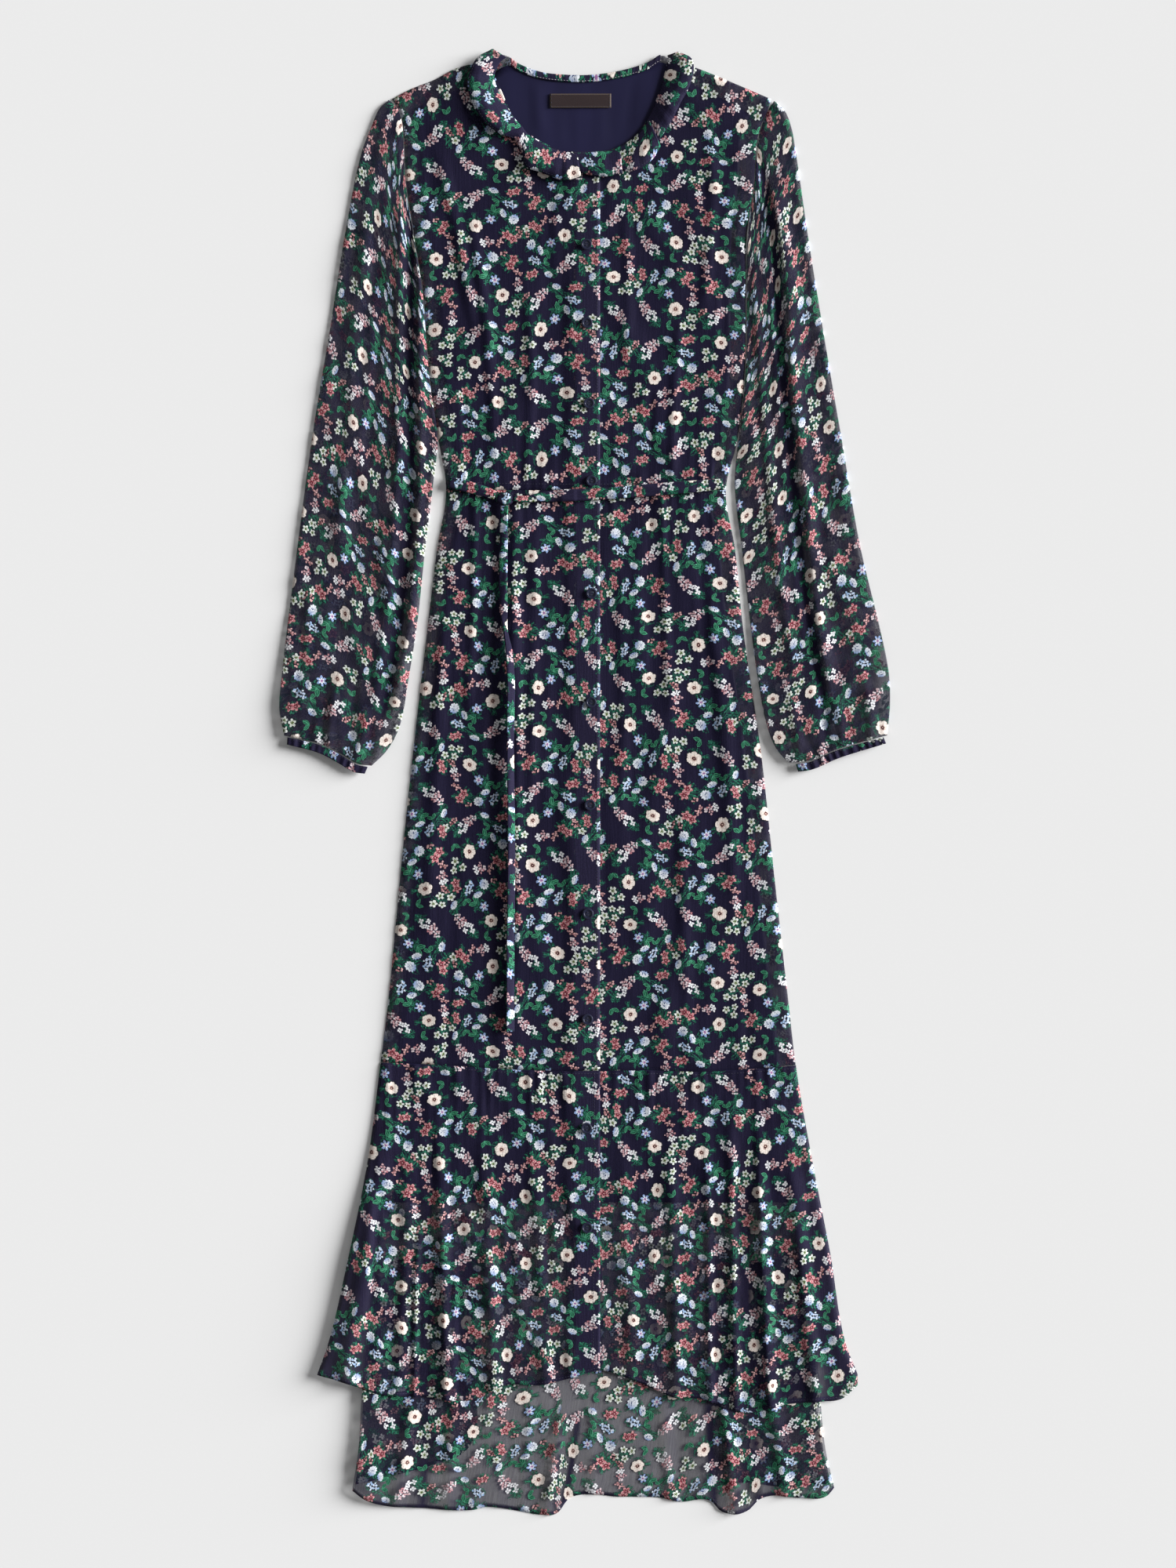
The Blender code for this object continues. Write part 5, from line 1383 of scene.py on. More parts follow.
@dataclass
class Skirt:
    """The skirt, from the waist to the flounce: two fronts and the back."""

    finishes: Finishes
    step: float = 3.6
    creases: tuple[Crease, ...] = (
        Crease(((-96, 440), (-95, 560), (-96, 700), (-102, 860)), -2.7, 7, 6, start=0.04),
        Crease(((-73, 440), (-74, 560), (-71, 740), (-70, 960)), 2.7, 6.5, 12, start=0.03),
        Crease(((-112, 440), (-113, 540), (-120, 680)), 2.4, 6.8, 7, start=0.04),
        Crease(((61, 438), (62, 540), (66, 660)), -2.7, 6, 5, start=0.03, stop=0.5),
        Crease(((74, 438), (77, 560), (84, 700)), 2.2, 7.6, 7, start=0.04, stop=0.5),
        Crease(((-52, 445), (-54, 600), (-58, 820)), 1.7, 10.2, 9),
        Crease(((108, 450), (118, 600), (128, 780)), -1.7, 8, 7),
        Crease(((120, 520), (138, 700), (150, 900)), 2.0, 11.9, 11),
        Crease(((30, 470), (34, 640), (36, 820)), 1.4, 10.2, 10),
        Crease(((-140, 520), (-150, 700), (-160, 900)), 2.0, 11, 11),
        Crease(((-30, 600), (-34, 760), (-33, 940)), -1.4, 9, 8),
        Crease(((-130, 760), (-136, 880), (-141, 1008)), -1.9, 8, 7, stop=0.02),
        Crease(((90, 740), (96, 880), (101, 1010)), 1.9, 10.2, 9, stop=0.02),
        Crease(((150, 820), (156, 920), (160, 1008)), -1.7, 8, 7, stop=0.02),
        Crease(((-80, 720), (-84, 860), (-88, 1008)), 1.5, 10.2, 10, stop=0.02))

    def make(self) -> None:
        """Make the two fronts and the back."""
        self.front(Side.RIGHT)
        self.front(Side.LEFT)
        self.back()

    def grid(self, start_x: Callable[[Array], Array], end_x: Callable[[Array], Array],
            step: float) -> Array:
        """Return plan points from the waist to the flounce's seam, between two edges.

        Args:
            start_x: The x of the edge towards -X, at some drops.
            end_x: The x of the edge towards +X.
            step: The distance between points.
        """
        start = PLAN.waist + 0.15
        hems = [float(read(PLAN.flounce_seam,
            edge(np.array([PLAN.flounce]))[0])) - 0.15 for edge in (start_x, end_x)]
        rows = np.linspace(0.0, 1.0, round(575 / step))
        first_drops = start + rows * (hems[0] - start)
        last_drops = start + rows * (hems[1] - start)
        first = line(start_x(first_drops), first_drops)
        last = line(end_x(last_drops), last_drops)
        columns = round((last[-1, 0] - first[-1, 0]) / step)
        top = line(np.linspace(first[0, 0], last[0, 0], columns), start)
        bottom_x = np.linspace(first[-1, 0], last[-1, 0], columns)
        bottom = line(bottom_x, read(PLAN.flounce_seam, bottom_x) - 0.15)
        return patch(top, bottom, first, last)

    def level(self, plan: Array, side: Side) -> tuple[Array, Array]:
        """Return one front's height, and the extra layers in its folds."""
        x, drop = plan[..., 0], plan[..., 1]
        level = PLAN.panel(plan, side)
        rise, layers = crease_forms(plan, self.creases)
        inside = PLAN.inside(plan)
        folds = rise + ripple(plan, 41 + side.value, 52.0, 240.0, 0.8)
        folds = folds + gathers(plan, PLAN.waist, 51 + side.value, 9.0, 42.0, 0.65)
        calm = smoothstep(inside / 16.0) * PLAN.off_placket(x)
        level = level + calm * spring(folds) + seam_dip(drop - PLAN.waist)
        return level + seam_dip(read(PLAN.flounce_seam, x) - drop), layers

    def front(self, side: Side) -> None:
        """Make one front."""
        if side is Side.RIGHT:
            plan = self.grid(lambda drop: PLAN.side_x(drop, side),
                lambda drop: np.full_like(drop, PLAN.placket), self.step)
        else:
            plan = self.grid(lambda drop: np.full_like(drop, PLAN.underlap),
                lambda drop: PLAN.side_x(drop, side), self.step)
        x, drop = plan[..., 0], plan[..., 1]
        level, layers = self.level(plan, side)
        facing = PLAN.facing(x, side)
        shift = (8.0, -29.0) if side is Side.RIGHT else (-19.0, 11.0)
        place = plan + np.array(shift)
        points = raised(plan, level)
        name = f"skirt_front_{side.key()}"
        piece = shell(name + "_cloth", Cloth(points, place, np.maximum(layers, facing)),
            self.finishes.single, under=self.finishes.reverse)
        if side is Side.RIGHT:
            self.finishes.stitching.row(points[1:-1, -2])
        self.finishes.stitching.row(points[1])
        report(piece, [name])

    def back(self) -> None:
        """Make the back."""
        plan = self.grid(lambda drop: PLAN.side_x(drop, Side.RIGHT),
            lambda drop: PLAN.side_x(drop, Side.LEFT), 6.5)
        level = PLAN.back_level + 0.12 * ripple(plan, 61, 60.0, 200.0, 1.0)
        points = raised(plan, level)
        piece = shell("skirt_back_cloth", Cloth(points, plan + 9.0), self.finishes.reverse,
            under=self.finishes.single)
        report(piece, ["skirt_back"])


@dataclass
class Flounce:
    """The sheer flounce: two gathered fronts, the longer back, and its sides turned under."""

    finishes: Finishes
    step: float = 2.6
    hem: float = 3.0              # width of the rolled hem
    front_folds: tuple[Crease, ...] = (
        Crease(((-193, 1012), (-218, 1180), (-244, 1340)), 3.1, 14.4, 17, 0.7, 0.0),
        Crease(((-177, 1030), (-181, 1190), (-190, 1345)), 2.8, 10.1, 12, 0.6, 0.0),
        Crease(((-166, 1160), (-170, 1210), (-171, 1250), (-172, 1345)), 3.3, 3.6, 3.5, 0.2, 0.0),
        Crease(((-157, 1070), (-160, 1200), (-163, 1345)), -3.9, 6, 6, 0.15, 0.0, 1.0),
        Crease(((-150, 1012), (-145, 1180), (-140, 1345)), 5.2, 9, 11, 0.6, 0.0),
        Crease(((-131, 1200), (-133, 1280), (-134, 1345)), 2.4, 2.9, 3, 0.3, 0.0),
        Crease(((-128, 1150), (-129, 1260), (-129, 1345)), -2.3, 3, 5, 0.3, 0.0, 0.6),
        Crease(((-112, 1012), (-100, 1180), (-92, 1345)), 3.1, 11.5, 12, 0.6, 0.0),
        Crease(((-78, 1120), (-77, 1220), (-76, 1335)), -2.1, 6, 5, 0.3, 0.0, 0.4),
        Crease(((-62, 1014), (-50, 1180), (-42, 1335)), 2.1, 10.8, 12, 0.6, 0.0),
        Crease(((-38, 1090), (-39, 1160), (-40, 1250)), -1.6, 6, 5),
        Crease(((30, 1016), (38, 1180), (44, 1330)), 1.9, 10.8, 12, 0.6, 0.0),
        Crease(((58, 1180), (66, 1260), (73, 1338)), -2.4, 6, 5, 0.3, 0.0, 0.5),
        Crease(((80, 1016), (84, 1180), (88, 1340)), 3.3, 10.1, 12, 0.6, 0.0),
        Crease(((106, 1100), (107, 1220), (107, 1340)), -1.8, 6, 6, 0.4, 0.0, 0.3),
        Crease(((118, 1016), (120, 1180), (121, 1345)), 3.0, 7.2, 7, 0.6, 0.0),
        Crease(((126, 1190), (127, 1270), (128, 1347)), -3.1, 4, 5, 0.2, 0.0, 0.8),
        Crease(((140, 1012), (144, 1180), (147, 1350)), 3.9, 8.6, 8, 0.5, 0.0),
        Crease(((154, 1080), (156, 1200), (158, 1352)), -4.5, 6, 6, 0.12, 0.0, 1.4),
        Crease(((166, 1012), (172, 1180), (180, 1350)), 5.6, 6.5, 13, 0.5, 0.0),
        Crease(((186, 1150), (194, 1250), (203, 1346)), -2.3, 7, 6, 0.3, 0.0, 0.4),
        Crease(((193, 1010), (210, 1180), (226, 1345)), 3.3, 10.1, 14, 0.6, 0.0),
        Crease(((-206, 1110), (-214, 1230), (-222, 1335)), -1.9, 7, 6, 0.3, 0.0, 0.3),
        Crease(((230, 1190), (238, 1270), (247, 1342)), -1.8, 6, 6, 0.3, 0.0, 0.3))
    back_folds: tuple[Crease, ...] = (
        Crease(((-150, 1300), (-160, 1380), (-164, 1450)), -1.8, 5, 5, 0.2, 0.0, 0.8),
        Crease(((-165, 1300), (-180, 1380), (-190, 1446)), 3.1, 11.5, 12, 0.3, 0.0),
        Crease(((-130, 1300), (-136, 1380), (-140, 1450)), 2.3, 9.4, 11, 0.3, 0.0),
        Crease(((-55, 1320), (-60, 1380), (-66, 1452)), 1.4, 6.5, 8, 0.3, 0.0),
        Crease(((-22, 1330), (-32, 1390), (-42, 1456)), 3.5, 9.4, 9, 0.3, 0.0),
        Crease(((-8, 1350), (-15, 1400), (-24, 1448)), -2.4, 4, 4, 0.2, 0.0, 0.9),
        Crease(((4, 1320), (4, 1380), (3, 1440)), 1.4, 8.6, 10, 0.3, 0.0),
        Crease(((72, 1320), (78, 1380), (82, 1444)), 2.3, 10.1, 11, 0.3, 0.0),
        Crease(((118, 1330), (122, 1390), (126, 1448)), -2.6, 4, 5, 0.2, 0.0, 1.0),
        Crease(((132, 1320), (139, 1390), (146, 1456)), 3.9, 7.2, 13, 0.3, 0.0),
        Crease(((160, 1320), (166, 1380), (170, 1444)), -1.9, 6, 5, 0.3, 0.0, 0.6),
        Crease(((178, 1320), (188, 1380), (196, 1442)), 2.4, 9.4, 12, 0.3, 0.0))
    turn_start: float = 1202.0
    over_start: float = 1161.0    # where the back starts to rise over the turned sides
    under: float = 32.0           # how far the back's rise reaches past a turned side
    ease: float = 16.0            # mm that the rise takes
    turn_inner: dict[Side, float] = field(default_factory=lambda: {Side.RIGHT: -110.0,
        Side.LEFT: 121.0})
    turn_hems: dict[Side, tuple[Plan, ...]] = field(default_factory=lambda: {
        Side.RIGHT: ((-231, 1425), (-190, 1416), (-150, 1405), (-122, 1393), (-110, 1377)),
        Side.LEFT: ((121, 1428), (160, 1424), (190, 1428), (243, 1425))})

    def make(self) -> None:
        """Make the flounce's five panels."""
        self.front(Side.RIGHT)
        self.front(Side.LEFT)
        self.back()
        self.turned(Side.RIGHT)
        self.turned(Side.LEFT)

    def grid(self, seam_span: Plan, hem_span: Plan, hem: Sequence[Plan],
            start_x: Callable[[Array], Array], end_x: Callable[[Array], Array], steps: Plan) -> Array:
        """Return a flounce panel's plan points.

        Args:
            seam_span: The x values that it spans at its seam.
            hem_span: The x values that it spans at its hem.
            hem: The hem's line.
            start_x: The x of the edge towards -X, at some drops.
            end_x: The x of the edge towards +X.
            steps: The distance between columns and between rows.
        """
        columns = round((hem_span[1] - hem_span[0]) / steps[0])
        seam_x = np.linspace(*seam_span, columns)
        hem_x = np.linspace(*hem_span, columns)
        top = line(seam_x, read(PLAN.flounce_seam, seam_x) + 0.15)
        bottom = line(hem_x, read(hem, hem_x))
        rows = np.linspace(0.0, 1.0, round((bottom[0, 1] - top[0, 1]) / steps[1]))
        first_drops = top[0, 1] + rows * (bottom[0, 1] - top[0, 1])
        last_drops = top[-1, 1] + rows * (bottom[-1, 1] - top[-1, 1])
        return patch(top, bottom, line(start_x(first_drops), first_drops),
            line(end_x(last_drops), last_drops))

    def front(self, side: Side) -> None:
        """Make one front, with its gathers at the seam and its folds down to the hem."""
        if side is Side.RIGHT:
            plan = self.grid((-207, PLAN.placket), (-269, PLAN.placket), PLAN.front_hem,
                             lambda drop: PLAN.side_x(drop, side),
                             lambda drop: np.full_like(drop, PLAN.placket), (2.4, self.step))
        else:
            plan = self.grid((PLAN.underlap, 207), (PLAN.underlap, 268), PLAN.front_hem,
                             lambda drop: np.full_like(drop, PLAN.underlap),
                             lambda drop: PLAN.side_x(drop, side), (2.4, self.step))
        x, drop = plan[..., 0], plan[..., 1]
        level = PLAN.panel(plan, side)
        rise, layers = crease_forms(plan, self.front_folds)
        inside = PLAN.inside(plan)
        calm = smoothstep(inside / 14.0) * smoothstep((np.abs(x) - 8.0) / 14.0)
        seam = read(PLAN.flounce_seam, x)
        folds = rise + ripple(plan, 71 + side.value, 34.0, 160.0, 0.7)
        folds = folds + gathers(plan, seam, 81 + side.value, 8.0, 34.0, 0.8)
        level = level + calm * spring(folds, 1.6) + seam_dip(drop - seam)
        level = np.maximum(level, 1.9 * smoothstep(inside / 6.0) + 0.75) + PLAN.curl(plan)
        facing = PLAN.facing(x, side)
        hem = smoothstep((self.hem - (read(PLAN.front_hem, x) - drop)) / 0.8 + 0.5)
        wrapped = 0.8 * (1.0 - smoothstep((inside - 20.0) / 16.0))
        layers = np.maximum(np.maximum(layers, facing), np.maximum(1.6 * hem, wrapped))
        along = self.arc(plan, level, last=side is Side.RIGHT)
        shift = (-13.0, 5.0) if side is Side.RIGHT else (27.0, -21.0)
        place = np.stack([along + shift[0], drop + shift[1]], axis=-1)
        points = raised(plan, level)
        name = f"flounce_front_{side.key()}"
        piece = shell(name + "_cloth", Cloth(points, place, layers), self.finishes.single,
            under=self.finishes.reverse)
        if side is Side.RIGHT:
            self.finishes.stitching.row(points[1:-2, -4])
        self.finishes.stitching.row(points[1])
        self.finishes.stitching.row(points[-2])
        report(piece, [name])

    @staticmethod
    def arc(plan: Array, level: Array, last: bool) -> Array:
        """Return each point's distance along its row, from the row's last or first point."""
        points = raised(plan, level)
        gaps = np.linalg.norm(np.diff(points, axis=1), axis=-1)
        along = np.concatenate([np.zeros((len(points), 1)), np.cumsum(gaps, axis=1)], axis=1)
        return along - along[:, -1:] if last else along

    def back(self) -> None:
        """Make the back, which rises over the sides turned below it."""
        plan = self.grid((-207, 207), (-234, 245), PLAN.back_hem,
                         lambda drop: PLAN.back_side_x(drop, Side.RIGHT),
                         lambda drop: PLAN.back_side_x(drop, Side.LEFT), (3.0, 4.0))
        x, drop = plan[..., 0], plan[..., 1]
        over = np.maximum(smoothstep((self.turn_inner[Side.RIGHT] + self.under - x) / self.ease),
            smoothstep((x - self.turn_inner[Side.LEFT] + self.under) / self.ease))
        level = PLAN.back_level + 1.3 * over * smoothstep((drop - self.over_start) / self.ease)
        shows = smoothstep((drop - 1315.0) / 40.0)
        rise, layers = crease_forms(plan, self.back_folds)
        level = level + shows * (np.maximum(rise, -0.35) + 0.25 + ripple(plan, 91, 30.0, 110.0, 0.35))
        level = np.maximum(level, PLAN.back_level) + PLAN.curl(plan)
        hem = smoothstep((self.hem - (read(PLAN.back_hem, x) - drop)) / 0.8 + 0.5)
        layers = np.maximum(shows * layers, 1.6 * hem)
        place = np.stack([self.arc(plan, level, last=False) - 207.0, drop + 37.0], axis=-1)
        points = raised(plan, level)
        piece = shell("flounce_back_cloth", Cloth(points, place, layers), self.finishes.single)
        self.finishes.stitching.row(points[-2])
        report(piece, ["flounce_back"])

    def turned(self, side: Side) -> None:
        """Make one side of the flounce, turned under its back."""
        hem = self.turn_hems[side]
        inner_x = self.turn_inner[side]
        outer_drop = hem[0][1] if side is Side.RIGHT else hem[-1][1]
        inner_drop = hem[-1][1] if side is Side.RIGHT else hem[0][1]
        rows = np.linspace(0.0, 1.0, 46)
        outer_drops = self.turn_start + rows * (outer_drop - self.turn_start)
        inner_drops = self.turn_start + rows * (inner_drop - self.turn_start)
        outer = line(PLAN.back_side_x(outer_drops, side) - 2.0 * side.value, outer_drops)
        inner = line(inner_x, inner_drops)
        first, last = (outer, inner) if side is Side.RIGHT else (inner, outer)
        across = np.linspace(0.0, 1.0, 34)
        top = line(first[0, 0] + across * (last[0, 0] - first[0, 0]), self.turn_start)
        bottom_x = first[-1, 0] + across * (last[-1, 0] - first[-1, 0])
        plan = patch(top, line(bottom_x, read(hem, bottom_x)), first, last)
        level = PLAN.back_level + 0.1 * ripple(plan, 95 + side.value, 30.0, 90.0, 1.0)
        level = level + PLAN.curl(plan)
        near_hem = read(hem, plan[..., 0]) - plan[..., 1]
        layers = 1.6 * smoothstep((self.hem - near_hem) / 0.8 + 0.5)
        points = raised(plan, level)
        name = f"flounce_side_{side.key()}"
        piece = shell(name + "_cloth", Cloth(points, -plan + 13.0, layers), self.finishes.single)
        report(piece, [name])


@dataclass
class Lining:
    """The plain lining, which shows inside the neck and darkens the cloth over it."""

    finishes: Finishes
    inset: float = 15.0
    top: tuple[Plan, ...] = ((-172, 58), (-140, 43), (-100, 28), (-84, 16), (-69, 15), (-48, 23),
                             (-24, 26), (6, 26), (41, 20), (61, 13), (75, 12), (92, 28),
                             (120, 42), (147, 58))
    creases: tuple[Crease, ...] = (
        Crease(((-52, 30), (-50, 55), (-46, 86)), 0.6, 9, 8, 0.1, 0.3),
        Crease(((-22, 40), (-20, 70), (-18, 100)), -0.4, 6, 6),
        Crease(((12, 34), (14, 66), (14, 98)), 0.5, 8, 7),
        Crease(((44, 26), (42, 52), (38, 84)), -0.5, 6, 6))

    def make(self) -> None:
        """Make the lining."""
        rows = np.linspace(0.0, 1.0, 190)
        drops = 58.0 + rows * (PLAN.lining_end - 58.0)
        columns = shares(lengths(np.array(self.top, float))[-1], 5.0)
        top = trace(self.top, columns)
        right = line(PLAN.side_x(drops, Side.RIGHT) + self.inset, drops)
        left = line(PLAN.side_x(drops, Side.LEFT) - self.inset, drops)
        right[0], left[0] = top[0], top[-1]
        bottom = line(np.linspace(right[-1, 0], left[-1, 0], len(top)), PLAN.lining_end)
        plan = patch(top, bottom, right, left)
        rise, _ = crease_forms(plan, self.creases)
        level = PLAN.lining_level + rise + 0.12 * ripple(plan, 101, 40.0, 160.0, 1.0)
        points = raised(plan, level)
        piece = shell("lining_cloth", Cloth(points, plan), self.finishes.lining)
        report(piece, ["lining"])


class Post(NamedTuple):
    """A line across the ruffle, from the neck to its free edge, and how high it is lifted."""

    inner_x: float
    inner_drop: float
    outer_x: float
    outer_drop: float
    lift: float


@dataclass
class Neck:
    """The neck: the bound back neckline, the ruffle round the front, and the bare label."""

    finishes: Finishes
    binding_width: float = 7.0
    binding_span: Plan = (-77.0, 72.0)
    label: WovenLabel = field(default_factory=WovenLabel)
    label_centre: Plan = (-7.5, 50.0)
    sections: tuple[tuple[Post, ...], ...] = (
        (Post(-81, 7, -95, -1, 2.0), Post(-88, 13, -110, 8, 3.5), Post(-93, 26, -118, 24, 4.4),
         Post(-90, 38, -119, 40, 4.6), Post(-83, 52, -113, 57, 5.2), Post(-74, 66, -101, 74, 5.6),
         Post(-66, 76, -86, 85, 5.0)),
        (Post(-66, 75, -72, 89, 2.0), Post(-60, 83, -65, 104, 3.0), Post(-50, 90, -62, 116, 4.6),
         Post(-37, 97, -47, 122, 4.9), Post(-22, 101, -23, 130, 4.6), Post(-11, 102, -7, 126, 3.6)),
        (Post(-17, 101, -14, 119, 1.6), Post(-5, 102, -1, 124, 3.2), Post(8, 101, 9, 126, 4.0),
         Post(20, 100, 21, 126, 4.6), Post(32, 97, 34, 123, 4.2)),
        (Post(26, 98, 27, 116, 1.8), Post(36, 93, 38, 121, 3.8), Post(45, 87, 50, 119, 4.8),
         Post(55, 76, 65, 108, 5.0), Post(60, 68, 72, 96, 4.4)),
        (Post(57, 72, 66, 95, 1.8), Post(62, 62, 74, 85, 3.4), Post(67, 51, 83, 71, 4.4),
         Post(71, 40, 92, 53, 4.8), Post(75, 27, 101, 36, 4.8), Post(78, 16, 105, 19, 4.2),
         Post(79, 8, 103, 9, 3.4), Post(79, 5, 90, 2, 2.4)))

    def make(self) -> None:
        """Make the binding, the ruffle and the label."""
        self.make_binding()
        self.make_ruffle()
        self.make_label()

    def make_binding(self) -> None:
        """Make the band of print round the back neck."""
        places = spread(*self.binding_span, 1.2)
        upper = line(places, read(PLAN.back_neck, places))
        across = np.linspace(0.0, 1.0, 12)[:, None, None]
        plan = upper[None] + across * np.array([0.0, self.binding_width])
        crown = 0.5 * np.sin(math.pi * across[..., 0]) ** 0.5
        level = 2.95 + crown + 0.12 * ripple(plan, 111, 7.0, 20.0, 1.0)
        points = raised(plan, level)
        along = lengths(upper)
        place = np.stack([np.broadcast_to(along, level.shape) + 6.0, plan[..., 1] * 0.4 + 50.0],
            axis=-1)
        piece = shell("neck_binding_cloth", Cloth(points, place, np.full(level.shape, 2.0)),
            self.finishes.double)
        self.finishes.stitching.row(points[-3], Thread.PALE)
        report(piece, ["neck_binding"])

    def make_ruffle(self) -> None:
        """Make the ruffle: one strip, laid back under itself between its pleats."""
        table = []
        for number, section in enumerate(self.sections):
            if number:
                back = table[-3]
                table.append(Post(*(np.array(back[:4]) * 0.4 + np.array(table[-1][:4]) * 0.6),
                                  table[-1].lift - 3.4))
                table.append(Post(*(np.array(section[0][:4]) * 0.6
                                    + np.array(back[:4]) * 0.4), section[0].lift))
            posts = np.array(section)
            reach = lengths(posts[:, 2:4])
            for share in np.linspace(0.0, 1.0, round(reach[-1] / 1.5)):
                table.append(Post(*(float(read(np.stack([reach, posts[:, k]], axis=1),
                                               share * reach[-1])) for k in range(5))))
        posts = np.array(table)
        across = np.linspace(0.0, 1.0, 17)[:, None]
        x = posts[:, 0] + across * (posts[:, 2] - posts[:, 0])
        drop = posts[:, 1] + across * (posts[:, 3] - posts[:, 1])
        plan = np.stack([x, drop], axis=-1)
        roll = np.interp(across, [0.0, 0.3, 0.62, 0.85, 1.0], [0.0, 0.55, 1.0, 1.0, 0.72])
        level = np.maximum(PLAN.on_front(plan), 4.1) + 1.35 * roll * posts[:, 4]
        flutter = np.sin(np.cumsum(np.full(len(posts), 1.5)) * 2 * math.pi / 13.0)
        level = level + 0.35 * flutter * across ** 1.5
        points = raised(plan, level)
        middle = points[8]
        along = lengths(middle)
        width = np.linalg.norm(plan[-1] - plan[0], axis=-1)
        place = np.stack([np.broadcast_to(along, level.shape), across * width + 71.0], axis=-1)
        hem = smoothstep((across * width - width + 2.6) / 0.6)
        piece = shell("neck_ruffle_cloth", Cloth(points, place, 1.0 + 1.0 * hem), self.finishes.double)
        self.finishes.stitching.row(points[-2])
        report(piece, ["neck_ruffle"])

    def make_label(self) -> None:
        """Make the bare label."""
        wide, high = self.label.size
        across = spread(-wide / 2, wide / 2, 1.5)
        down = spread(-high / 2, high / 2, 1.2)
        local = np.stack(np.meshgrid(across, down), axis=-1)
        plan = local + np.array(self.label_centre)
        level = 3.05 + 0.25 * np.sin((local[..., 0] + 9.0) / 17.0) + 0.1 * np.cos(local[..., 1] / 4)
        points = raised(plan, level)
        piece = shell("label_tape", Cloth(points, local * np.array([1.0, -1.0])), self.finishes.label,
            thick=0.5)
        for edge in (points[1, 1:-1], points[-2, 1:-1], points[1:-1, 1], points[1:-1, -2]):
            self.finishes.stitching.row(edge, lift=0.32)
        report(piece, ["label"])


